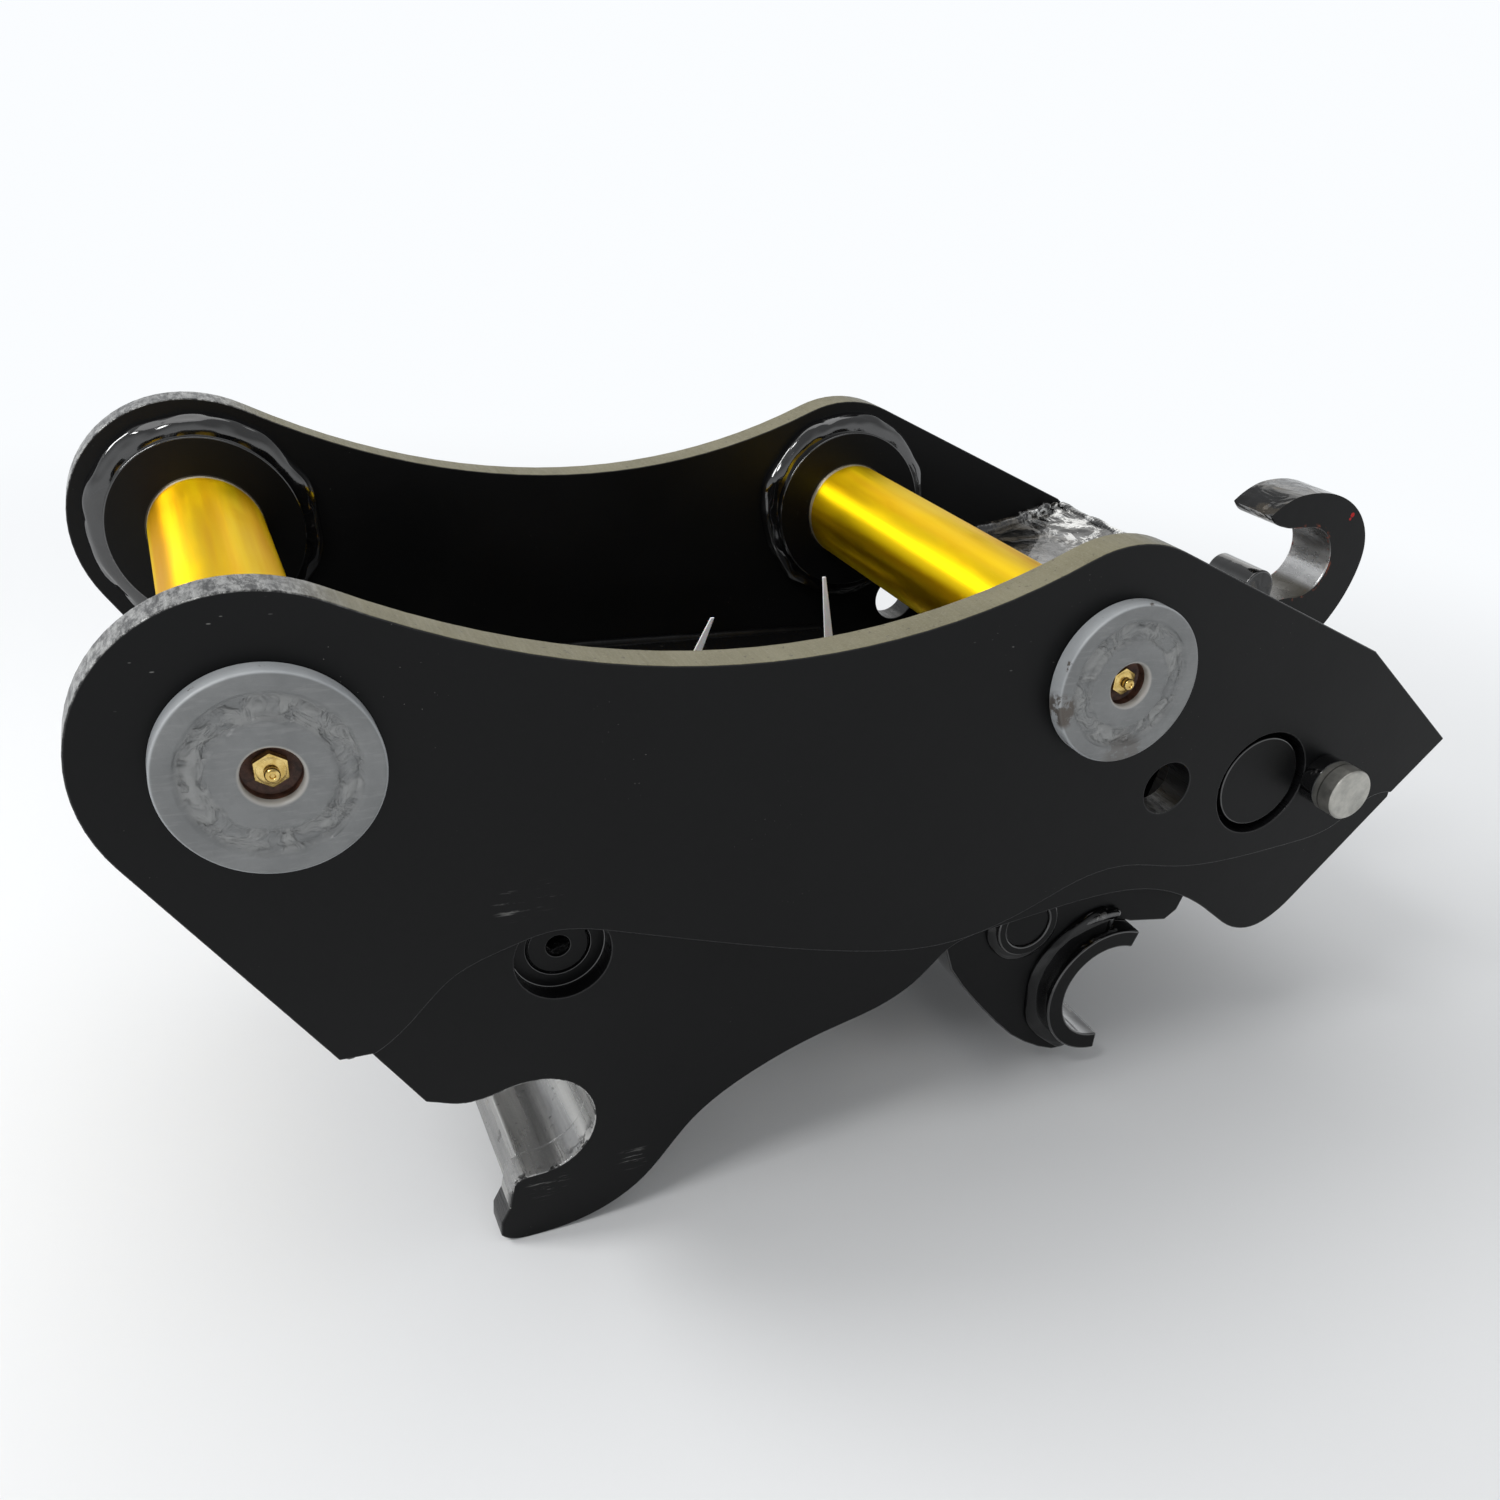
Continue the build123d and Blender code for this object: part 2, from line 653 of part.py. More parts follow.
# gland screwed into the open end, with the wiper that rubs on the rod
rod_r = 25.0
gland_w, spigot_w, wiper_w, wiper_r = 22.0, 26.0, 5.0, 32.0
key_circle_r, key_r, key_depth = 39.0, 4.0, 8.0      # holes for the gland's spanner
with BuildPart() as gland:
    with BuildSketch(cyl_cross(barrel_end)):
        Circle(barrel_r)
    extrude(amount=gland_w)
    chamfer(gland.faces().sort_by(Axis.X)[-1].edges(), length=3)
    with BuildSketch(cyl_cross(barrel_end - spigot_w)):
        Circle(bore_r - 0.05)
    extrude(amount=spigot_w)
    with BuildSketch(cyl_cross(barrel_end - spigot_w)):
        Circle(rod_r + running_gap)
    extrude(amount=spigot_w + gland_w, mode=Mode.SUBTRACT)
    with BuildSketch(cyl_cross(barrel_end + gland_w - wiper_w)):
        Circle(wiper_r)
    extrude(amount=wiper_w, mode=Mode.SUBTRACT)
    with BuildSketch(cyl_cross(barrel_end + gland_w)):
        with PolarLocations(key_circle_r, 4):
            Circle(key_r)
    extrude(amount=-key_depth, mode=Mode.SUBTRACT)
save(gland.part, "cylinder_gland")
with BuildPart() as wiper:
    with BuildSketch(cyl_cross(barrel_end + gland_w - wiper_w)):
        Circle(wiper_r - 0.05)
        Circle(rod_r + running_gap, mode=Mode.SUBTRACT)
    extrude(amount=wiper_w + 1)
save(wiper.part, "rod_wiper")

# piston and its seal, the rod and the rod eye
piston_start, piston_w = 200.0, 34.0
seal_start, seal_w, seal_r = 212.0, 10.0, 32.0
rod_end = 362.0
neck_start, neck_r, rod_eye_r = 353.0, 28.0, 38.0
with BuildPart() as piston:
    with BuildSketch(cyl_cross(piston_start)):
        Circle(bore_r - 0.1)
        Circle(rod_r, mode=Mode.SUBTRACT)
    extrude(amount=piston_w)
    with BuildSketch(cyl_cross(seal_start)):
        Circle(bore_r)
        Circle(seal_r, mode=Mode.SUBTRACT)
    extrude(amount=seal_w, mode=Mode.SUBTRACT)
save(piston.part, "piston")
with BuildPart() as piston_seal:
    with BuildSketch(cyl_cross(seal_start)):
        Circle(bore_r - 0.05)
        Circle(seal_r, mode=Mode.SUBTRACT)
    extrude(amount=seal_w)
save(piston_seal.part, "piston_seal")
with BuildPart() as rod:
    with BuildSketch(cyl_cross(piston_start)):
        Circle(rod_r)
    extrude(amount=rod_end - piston_start)
save(rod.part, "piston_rod")
with BuildPart() as rod_eye:
    with BuildSketch(cyl_cross(neck_start)):
        Circle(neck_r)
    extrude(amount=cyl_length - neck_start)
    with BuildSketch(cyl_plane(eye_half_w)):
        with Locations((cyl_length, 0)):
            Circle(rod_eye_r)
    extrude(amount=2 * eye_half_w)
    with BuildSketch(cyl_cross(neck_start)):
        Circle(rod_r)
    extrude(amount=rod_end - neck_start, mode=Mode.SUBTRACT)
    with BuildSketch(cyl_plane(eye_half_w + 10)):
        with Locations((cyl_length, 0)):
            Circle(eye_r + open_pivot_gap)
    extrude(amount=2 * eye_half_w + 20, mode=Mode.SUBTRACT)
save(rod_eye.part, "rod_eye")

# check-valve block on the barrel, its ports with their caps, and the feed tube
block_from, block_to, block_top, block_half_w = 62.0, 130.0, 82.0, 30.0
block_foot = 30.0
port_at = (80.0, 112.0)
adapter_hex_r, adapter_hex_h, adapter_r, adapter_h = 12.5, 9.0, 9.0, 11.0
port_cap_r, port_cap_h, port_cap_at = 11.5, 12.0, 11.0
tube_top, tube_r, tube_end = 58.0, 5.0, 272.0
bend_r = 10.0
with BuildPart() as valve_block:
    with BuildSketch(cyl_plane(block_half_w)):
        with Locations(((block_from + block_to) / 2, (block_foot + block_top) / 2)):
            Rectangle(block_to - block_from, block_top - block_foot)
    extrude(amount=2 * block_half_w)
    chamfer(valve_block.edges().filter_by(Axis.Y), length=3)
    with BuildSketch(cyl_cross(block_from - 5)):
        Circle(barrel_r)
    extrude(amount=block_to - block_from + 10, mode=Mode.SUBTRACT)
save(valve_block.part, "check_valve_block")


def on_block(along):
    """The plane on the block's top face, over a port."""
    share_x, share_z = stroke_x / cyl_length, stroke_z / cyl_length
    origin = (anchor_x + along * share_x - block_top * share_z, 0,
              anchor_z + along * share_z + block_top * share_x)
    return Plane(origin=origin, x_dir=(0, 1, 0), z_dir=(-share_z, 0, share_x))


with BuildPart() as adapters:
    for along in port_at:
        with BuildSketch(on_block(along)):
            RegularPolygon(adapter_hex_r, 6)
        extrude(amount=adapter_hex_h)
        with BuildSketch(on_block(along).offset(adapter_hex_h)):
            Circle(adapter_r)
        extrude(amount=adapter_h)
save(adapters.part, "port_adapters")
with BuildPart() as port_caps:
    for along in port_at:
        with BuildSketch(on_block(along).offset(port_cap_at)):
            Circle(port_cap_r)
        extrude(amount=port_cap_h)
        with BuildSketch(on_block(along).offset(port_cap_at)):
            Circle(adapter_r + running_gap)
        extrude(amount=adapter_hex_h + adapter_h - port_cap_at + 0.1, mode=Mode.SUBTRACT)
save(port_caps.part, "port_caps")

with BuildPart() as feed_tube:
    with BuildLine(cyl_plane()):
        straight = Line((block_to, tube_top), (tube_end - bend_r, tube_top))
        bend = TangentArc(straight @ 1, (tube_end, tube_top - bend_r), tangent=straight % 1)
    with BuildSketch(cyl_cross(block_to)):
        with Locations((0, tube_top)):
            Circle(tube_r)
    sweep()
save(feed_tube.part, "feed_tube")

# cable ties round barrel and feed tube, their tails standing up through the deck window
tie_w, tie_t = 7.6, 1.5
tie_gap = 0.2
tie_head_at, tie_head_l, tie_head_h, tie_head_w = 62.0, 11.0, 10.0, 7.0
tie_bend_w, tie_tip_w = 7.2, 3.0      # the tail narrows from its bend to its tip


def cable_tie(along, bend_x, bend_z, tip_x, tip_z):
    """A loop, a square head beside the feed tube and a long loose tail."""
    share_x, share_z = stroke_x / cyl_length, stroke_z / cyl_length
    head_x = anchor_x + along * share_x - tie_head_at * share_z
    head_z = anchor_z + along * share_z + tie_head_at * share_x
    with BuildPart() as tie:
        with BuildSketch(cyl_cross(along - tie_w / 2)):
            with BuildSketch(mode=Mode.PRIVATE) as outside:
                Circle(barrel_r + tie_gap + tie_t)
                with Locations((0, tube_top)):
                    Circle(tube_r + tie_gap + tie_t)
                make_hull()
            with BuildSketch(mode=Mode.PRIVATE) as inside:
                Circle(barrel_r + tie_gap)
                with Locations((0, tube_top)):
                    Circle(tube_r + tie_gap)
                make_hull()
            add(outside.sketch)
            add(inside.sketch, mode=Mode.SUBTRACT)
        extrude(amount=tie_w)
        with BuildSketch(cyl_plane(-11)):
            with Locations((along, tie_head_at)):
                Rectangle(tie_head_l, tie_head_h)
        extrude(amount=tie_head_w)
        with BuildSketch(side_plane(-13.5)):
            with BuildLine():
                Polyline(
                    (head_x - tie_w / 2, head_z), (head_x + tie_w / 2, head_z),
                    (bend_x + tie_bend_w / 2, bend_z), (tip_x + tie_tip_w / 2, tip_z),
                    (tip_x - tie_tip_w / 2, tip_z), (bend_x - tie_bend_w / 2, bend_z),
                    close=True,
                )
            make_face()
        extrude(amount=tie_t)
    return tie.part


save(cable_tie(141, 306, -45, 318, -17), "front_cable_tie")
save(cable_tie(260, 413.5, -38, 405.5, 8.5), "rear_cable_tie")

# ---- safety bar with its plated head ----
bar_far = hook_out - 2
with BuildPart() as safety_bar:
    add(disc(guard_x, guard_z, guard_r, bar_far, sleeve_end))
    chamfer(safety_bar.faces().sort_by(Axis.Y)[-1].edges(), length=3)
    with BuildSketch(side_plane(sleeve_end - 0.2)):
        with Locations((guard_x, guard_z)):
            Circle(guard_head_r)
    extrude(amount=guard_out - guard_sleeve_w - 0.2)
    chamfer(safety_bar.faces().sort_by(Axis.Y)[0].edges(), length=1.5)
    with BuildSketch(side_plane(sleeve_end - 0.3)):
        with Locations((guard_x, guard_z)):
            Circle(guard_r)
    extrude(amount=-1)
save(safety_bar.part, "safety_bar")
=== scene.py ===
import json
import math

import bmesh
import bpy
from mathutils import Matrix, Vector, noise


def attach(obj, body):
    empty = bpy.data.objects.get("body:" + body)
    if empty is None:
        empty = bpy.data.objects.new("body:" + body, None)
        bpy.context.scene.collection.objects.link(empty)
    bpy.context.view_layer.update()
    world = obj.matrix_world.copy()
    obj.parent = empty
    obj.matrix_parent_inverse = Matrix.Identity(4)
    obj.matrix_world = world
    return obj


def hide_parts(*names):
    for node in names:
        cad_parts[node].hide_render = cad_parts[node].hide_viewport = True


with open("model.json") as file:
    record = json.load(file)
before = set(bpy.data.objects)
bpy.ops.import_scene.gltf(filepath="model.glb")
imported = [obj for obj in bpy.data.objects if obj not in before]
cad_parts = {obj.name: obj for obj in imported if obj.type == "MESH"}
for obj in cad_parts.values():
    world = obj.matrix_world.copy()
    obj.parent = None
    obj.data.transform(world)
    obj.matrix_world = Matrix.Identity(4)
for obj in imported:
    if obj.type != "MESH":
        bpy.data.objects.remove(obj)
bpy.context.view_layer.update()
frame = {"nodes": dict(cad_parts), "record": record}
record = frame["record"]
SLOT = {part["node"]: part["material_slot"] for part in record["subparts"]}
BODY = {node: body for body, nodes in record["behaviour"]["bodies"].items() for node in nodes}

# ---- where things are, in millimetres, as in the CAD model ----
PIN_X = (0.0, 525.0)
PIN_R = 40.0
BOSS_R = 67.5
EAR_OUT, EAR_IN = 225.0, 200.0
CAP_R, CAP_W, POCKET_R = 55.0, 14.0, 15.0
NIPPLE_R, NIPPLE_W = 9.6, 6.0
PIVOT = (682.0, -98.0)
REAR_JAW = (628.0, -312.5)
COLLAR_R = 59.5
FRONT_JAW = (132.0, -296.0)
JAW_LINER_R, JAW_LIP = 62.0, (104.0, -318.0)
ANCHOR = (153.3, -162.0)
ANCHOR_END, PULLER_R, PULLER_TURNS = 187.0, 8.0, 24
BUSH_EDGE_R = 30.6
ROD_PIN = (541.0, -237.0)
ARM_OUT = 152.0
GUARD = (741.0, -100.0)
HOOK_EYE_AT, HOOK_EYE_R = (872.5, 0.0), 38.0
FLOOR_Z = -393.0
EAR_LOWER = [
    (828, -125), (800, -129), (774, -147), (731, -157), (667, -162), (613, -159),
    (567, -151), (529, -156), (493, -171), (420, -190), (347, -182), (254, -157),
    (181, -134), (160, -128), (140, -126), (115, -132), (82, -146), (60, -168), (34, -190),
]

# ---- how meshes are cut: angles in degrees, lengths in millimetres ----
SIDE_NORMAL = 0.93  # a face whose normal has this much of y belongs to a side
SAME_POINT = 0.002
FLAT_ANGLE, CREASE_ANGLE = 0.4, 28.0
BEVEL_STEPS = 2
RIPPLE_LENGTH = 4.5
FILLET_STEP, FILLET_SINK = 1.6, 1.2

# ---- light, stage and camera, in metres unless the name says otherwise ----
SKY = (0.96, 0.98, 1.0)
SKY_STRENGTH, SKY_TOP_STRENGTH = 1.0, 0.42
SKY_FADE = (0.08, 0.62)
CENTRE = (0.4, 0.0, -0.15)
FLOOR_R, FLOOR_FADE = 24.0, (0.35, 2.4)
FRAME_PX, FOCAL_PX, AXIS_PX = 1500, 1325.69, (849.1, 911.2)
SENSOR_MM = 36.0
CAMERA_AT_MM = (-29.5, -885.0, 306.5)


def mm(*values):
    return Vector(value / 1000 for value in values)


# ---- materials ----
class Nodes:
    """A small helper that builds a node tree from calls that read like an expression."""

    def __init__(self, name):
        self.material = bpy.data.materials.new(name)
        self.material.use_nodes = True
        self.tree = self.material.node_tree
        self.tree.nodes.clear()
        self.out = self.tree.nodes.new("ShaderNodeOutputMaterial")
        self.shader = self.tree.nodes.new("ShaderNodeBsdfPrincipled")
        self.link(self.shader.outputs[0], self.out.inputs[0])
        self.coords = self.tree.nodes.new("ShaderNodeTexCoord")
        self.place = self.coords.outputs["Object"]

    def link(self, source, target):
        self.tree.links.new(source, target)

    def put(self, target, value):
        if isinstance(value, bpy.types.NodeSocket):
            self.link(value, target)
        elif isinstance(value, tuple) and len(value) == 3 and target.type == "RGBA":
            target.default_value = (*value, 1)
        else:
            target.default_value = value

    def set(self, **values):
        for key, value in values.items():
            self.put(self.shader.inputs[key.replace("_", " ")], value)
        return self

    def math(self, operation, a, b=0.0, c=0.0, clamp=False):
        node = self.tree.nodes.new("ShaderNodeMath")
        node.operation = operation
        node.use_clamp = clamp
        for socket, value in zip(node.inputs, (a, b, c)):
            self.put(socket, value)
        return node.outputs[0]

    def stretch(self, scale, place=None):
        node = self.tree.nodes.new("ShaderNodeMapping")
        self.put(node.inputs["Vector"], place or self.place)
        node.inputs["Scale"].default_value = scale
        return node.outputs[0]

    def noise(self, scale, detail=3.0, rough=0.55, place=None, distort=0.0):
        node = self.tree.nodes.new("ShaderNodeTexNoise")
        self.put(node.inputs["Vector"], place or self.place)
        node.inputs["Scale"].default_value = scale
        node.inputs["Detail"].default_value = detail
        node.inputs["Roughness"].default_value = rough
        node.inputs["Distortion"].default_value = distort
        return node.outputs["Fac"]

    def cells(self, scale, place=None):
        node = self.tree.nodes.new("ShaderNodeTexVoronoi")
        self.put(node.inputs["Vector"], place or self.place)
        node.inputs["Scale"].default_value = scale
        return node.outputs["Distance"]

    def ramp(self, value, low, high, to_low=0.0, to_high=1.0):
        node = self.tree.nodes.new("ShaderNodeMapRange")
        node.interpolation_type = "SMOOTHSTEP"
        self.put(node.inputs["Value"], value)
        for key, number in zip(("From Min", "From Max", "To Min", "To Max"),
                               (low, high, to_low, to_high)):
            node.inputs[key].default_value = number
        return node.outputs[0]

    def mix(self, share, a, b):
        node = self.tree.nodes.new("ShaderNodeMix")
        node.data_type = "RGBA"
        self.put(node.inputs[0], share)
        self.put(node.inputs[6], a)
        self.put(node.inputs[7], b)
        return node.outputs[2]

    def facing(self, axis):
        """The object-space normal's part along x, y or z."""
        node = self.tree.nodes.new("ShaderNodeSeparateXYZ")
        self.link(self.coords.outputs["Normal"], node.inputs[0])
        return node.outputs["XYZ".index(axis)]

    def along(self, axis):
        node = self.tree.nodes.new("ShaderNodeSeparateXYZ")
        self.link(self.place, node.inputs[0])
        return node.outputs["XYZ".index(axis)]

    def near(self, point, radius, soft):
        """1 within a radius of a point, falling to 0 over soft."""
        node = self.tree.nodes.new("ShaderNodeVectorMath")
        node.operation = "DISTANCE"
        self.link(self.place, node.inputs[0])
        node.inputs[1].default_value = point
        return self.ramp(node.outputs["Value"], radius, radius + soft, 1.0, 0.0)

    def near_any(self, first, *others):
        """The sum, up to 1, of near() at each (point, radius, soft)."""
        total = self.near(*first)
        for spot in others:
            total = self.math("ADD", total, self.near(*spot), clamp=True)
        return total

    def reach(self, x, z):
        """The distance from an axis across the coupler, in metres."""
        node = self.tree.nodes.new("ShaderNodeVectorMath")
        node.operation = "DISTANCE"
        self.link(self.stretch((1.0, 0.0, 1.0)), node.inputs[0])
        node.inputs[1].default_value = mm(x, 0, z)
        return node.outputs["Value"]

    def rings(self, point, scale, distort):
        """Uneven ripples spreading from a point."""
        node = self.tree.nodes.new("ShaderNodeTexWave")
        node.wave_type = "RINGS"
        node.rings_direction = "SPHERICAL"
        shift = self.tree.nodes.new("ShaderNodeMapping")
        self.link(self.place, shift.inputs["Vector"])
        shift.inputs["Location"].default_value = -point
        self.link(shift.outputs[0], node.inputs["Vector"])
        node.inputs["Scale"].default_value = scale
        node.inputs["Distortion"].default_value = distort
        node.inputs["Detail"].default_value = 2.0
        node.inputs["Detail Scale"].default_value = 1.5
        return node.outputs["Fac"]

    def times(self, *values):
        product = values[0]
        for value in values[1:]:
            product = self.math("MULTIPLY", product, value)
        return product

    def grain_along_y(self, turn):
        """A brushed look whose lines run round an axis across the coupler."""
        node = self.tree.nodes.new("ShaderNodeTangent")
        node.direction_type = "RADIAL"
        node.axis = "Y"
        self.link(node.outputs[0], self.shader.inputs["Tangent"])
        self.shader.inputs["Anisotropic Rotation"].default_value = turn

    def bump(self, *layers):
        """Layers of (height, distance in metres), one on top of the other."""
        below = None
        for height, distance in layers:
            node = self.tree.nodes.new("ShaderNodeBump")
            node.inputs["Distance"].default_value = distance
            self.link(height, node.inputs["Height"])
            if below:
                self.link(below, node.inputs["Normal"])
            below = node.outputs[0]
        self.link(below, self.shader.inputs["Normal"])
        return self


def marks(n):
    """Dust specks and short scratches, in patches."""
    dust = n.ramp(n.cells(240.0), 0.030, 0.055, 1.0, 0.0)
    dust = n.times(dust, n.ramp(n.noise(12.0, 2.0), 0.58, 0.70))
    dashes = n.ramp(n.cells(130.0, n.stretch((0.45, 1.0, 1.6))), 0.045, 0.075, 1.0, 0.0)
    dashes = n.times(dashes, n.near_any(
        (mm(-25, -225, 56), 0.022, 0.03), (mm(450, -225, 56), 0.030, 0.03),
        (mm(-10, 200, 82), 0.020, 0.02)))
    lines = n.ramp(n.noise(30.0, 4.0, 0.75, n.stretch((0.7, 1.0, 9.0))), 0.55, 0.62)
    rubs = n.near_any(
        (mm(117, -225, -103), 0.003, 0.010), (mm(137, -225, -100), 0.002, 0.010),
        (mm(138, -200, -346), 0.004, 0.014), (mm(200, -200, -342), 0.002, 0.012))
    return dust, n.math("MAXIMUM", dashes, n.times(lines, rubs, 0.9))


def satin_paint():
    n = Nodes("satin_black_paint")
    cloud = n.noise(5.0, 4.0)
    dust, scratches = marks(n)
    colour = n.mix(cloud, (0.0019, 0.0020, 0.0022), (0.0032, 0.0034, 0.0037))
    colour = n.mix(n.times(scratches, 0.75), colour, (0.20, 0.20, 0.19))
    colour = n.mix(n.times(dust, 0.8), colour, (0.30, 0.29, 0.27))
    rough = n.ramp(n.noise(8.0, 5.0, 0.6), 0.3, 0.7, 0.34, 0.44)
    n.set(Base_Color=colour, Roughness=n.math("ADD", rough, n.times(dust, 0.3)),
          Specular_IOR_Level=0.17)
    return n.bump((n.noise(300.0, 2.0), 0.00005), (n.noise(16.0, 2.0), 0.0003)).material


def cut_edge():
    """Painted flame-cut edges: dusty beige on the upper saddle, silver flecks at the front."""
    n = Nodes("flame_cut_edge")
    x = n.along("X")
    up = n.times(n.ramp(n.facing("Z"), 0.70, 0.86), n.ramp(x, 0.012, 0.060),
                 n.ramp(x, 0.515, 0.575, 1.0, 0.0), n.ramp(n.along("Z"), -0.03, 0.0))
    front = n.times(n.ramp(x, 0.01, 0.07, 1.0, 0.0), n.ramp(n.facing("Z"), 0.05, 0.45))
    crest = n.times(n.ramp(x, 0.50, 0.53), n.ramp(x, 0.575, 0.62, 1.0, 0.0),
                    n.ramp(n.facing("Z"), 0.6, 0.8))
    front = n.math("MAXIMUM", front, n.times(crest, 0.55))
    drag = n.noise(60.0, 3.0, 0.6, n.stretch((9.0, 0.5, 9.0)))
    grain = n.noise(800.0, 2.0, 0.7)
    patches = n.noise(20.0, 5.0, 0.65)
    dust = n.mix(n.ramp(patches, 0.3, 0.7), (0.130, 0.117, 0.066), (0.170, 0.155, 0.094))
    dust = n.mix(n.ramp(grain, 0.5, 0.75), dust, (0.205, 0.188, 0.128))
    dust = n.mix(n.ramp(n.noise(240.0, 3.0, 0.7), 0.62, 0.70, 0.0, 0.7), dust,
                 (0.035, 0.032, 0.023))
    flecks = n.ramp(n.noise(170.0, 4.0, 0.8, n.stretch((1.0, 0.4, 1.0))), 0.40, 0.64)
    bare = n.times(flecks, front, n.ramp(patches, 0.30, 0.52))
    dark = n.mix(bare, (0.0045, 0.0045, 0.0050), (0.34, 0.34, 0.33))
    shine = n.math("SUBTRACT", 1.0, up)
    n.set(
        Base_Color=n.mix(up, dark, dust),
        Roughness=n.math("ADD", n.ramp(drag, 0.2, 0.8, 0.24, 0.40), n.times(up, 0.25)),
        Metallic=n.times(shine, bare, 0.7),
        Specular_IOR_Level=0.4,
    )
    return n.bump((drag, 0.0005), (grain, 0.00012)).material


def gloss_paint(name="gloss_black_paint", silver=0.0, ripple=0.0012, along=(1.0, 1.0, 1.0),
                tint=(0.17, 0.165, 0.16), shine=0.75, coat=0.8):
    """Thick wet-looking paint over weld metal and ground surfaces."""
    n = Nodes(name)
    worn = n.noise(38.0, 5.0, 0.68, n.stretch(along))
    share = n.ramp(worn, 0.64 - silver, 0.76 - silver)
    n.set(
        Base_Color=n.mix(share, (0.004, 0.004, 0.0043), tint),
        Roughness=n.ramp(n.noise(55.0, 3.0), 0.3, 0.7, 0.05, 0.16),
        Metallic=n.times(share, 0.75),
        Specular_IOR_Level=shine,
        Coat_Weight=coat,
        Coat_Roughness=0.04,
    )
    wave = n.noise(34.0, 2.5, 0.5, n.stretch(along), 0.6)
    return n.bump((wave, ripple), (n.noise(260.0, 2.0, 0.6, n.stretch(along)), 0.00006)).material


def rippled_paint():
    """Wet paint that ran over the rolled plate in fans, with painted brownish highlights along the
    fans, mirror-bright near its rear edge.
    """
    n = Nodes("rolled_plate_paint")
    fan = n.rings(mm(650, 120, 40), 22.0, 5.0)
    torn = n.noise(50.0, 5.0, 0.72, n.stretch((1.3, 0.55, 1.3)), 1.4)
    rear = n.ramp(n.along("X"), 0.705, 0.740)
    bright = n.times(rear, n.ramp(torn, 0.50, 0.54))
    # painted highlight: brownish colour along the ripple fans, over real bumps
    painted_ripple_highlight = n.times(n.ramp(fan, 0.45, 0.85), n.ramp(torn, 0.42, 0.58), 0.8)
    colour = n.mix(painted_ripple_highlight, (0.004, 0.004, 0.004), (0.10, 0.088, 0.070))
    n.set(
        Base_Color=n.mix(bright, colour, (0.72, 0.72, 0.71)),
        Metallic=bright,
        Roughness=n.ramp(torn, 0.3, 0.7, 0.05, 0.14),
        Specular_IOR_Level=0.8,
        Coat_Weight=0.6,
        Coat_Roughness=0.05,
    )
    return n.bump((fan, 0.0011), (torn, 0.0011)).material


def jaw_metal():
    """Ground steel under a thin wet coat, dragged along the pin's line."""
    n = Nodes("ground_jaw")
    drag = n.noise(70.0, 4.0, 0.6, n.stretch((1.0, 0.045, 1.0)))
    cloud = n.noise(26.0, 5.0, 0.7)
    lip = n.ramp(n.math("ABSOLUTE", n.along("Y")), 0.186, 0.199)
    black = n.ramp(n.noise(60.0, 5.0, 0.75), 0.60, 0.68)
    black = n.math("MAXIMUM", n.times(black, 0.6),
                   n.times(lip, n.ramp(n.noise(95.0, 4.0, 0.7), 0.50, 0.58)))
    colour = n.mix(n.ramp(drag, 0.3, 0.7), (0.26, 0.26, 0.26), (0.52, 0.515, 0.50))
    colour = n.mix(n.ramp(cloud, 0.6, 0.75, 0.0, 0.4), colour, (0.30, 0.24, 0.18))
    n.set(
        Base_Color=n.mix(black, colour, (0.008, 0.008, 0.008)),
        Metallic=n.math("SUBTRACT", 0.85, n.times(black, 0.8)),
        Roughness=n.math("ADD", n.ramp(drag, 0.3, 0.7, 0.18, 0.32), n.times(cloud, 0.06)),
        Specular_IOR_Level=0.5,
    )
    return n.bump((drag, 0.0004), (n.noise(180.0, 4.0, 0.7), 0.0003)).material


def yellow_chromate():
    n = Nodes("yellow_chromate")
    bands = n.noise(26.0, 3.0, 0.6, n.stretch((1.0, 0.05, 1.0)))
    fine = n.noise(150.0, 3.0, 0.6, n.stretch((4.0, 0.08, 4.0)))
    smears = n.noise(40.0, 2.5, 0.5, n.stretch((1.0, 0.3, 1.0)))
    colour = n.mix(n.ramp(bands, 0.36, 0.64), (0.78, 0.40, 0.003), (0.95, 0.66, 0.005))
    colour = n.mix(n.ramp(smears, 0.60, 0.78, 0.0, 0.35), colour, (0.66, 0.30, 0.006))
    ends = n.ramp(n.math("ABSOLUTE", n.along("Y")), 0.1795, 0.1815)
    colour = n.mix(n.times(ends, 0.8), colour, (0.86, 0.82, 0.72))
    rough = n.math("ADD", n.ramp(smears, 0.4, 0.75, 0.38, 0.47),
                   n.ramp(fine, 0.4, 0.8, 0.0, 0.05))
    n.set(Base_Color=colour, Metallic=1.0, Roughness=rough, Anisotropic=0.9,
          Specular_IOR_Level=0.5)
    n.grain_along_y(0.25)
    return n.material


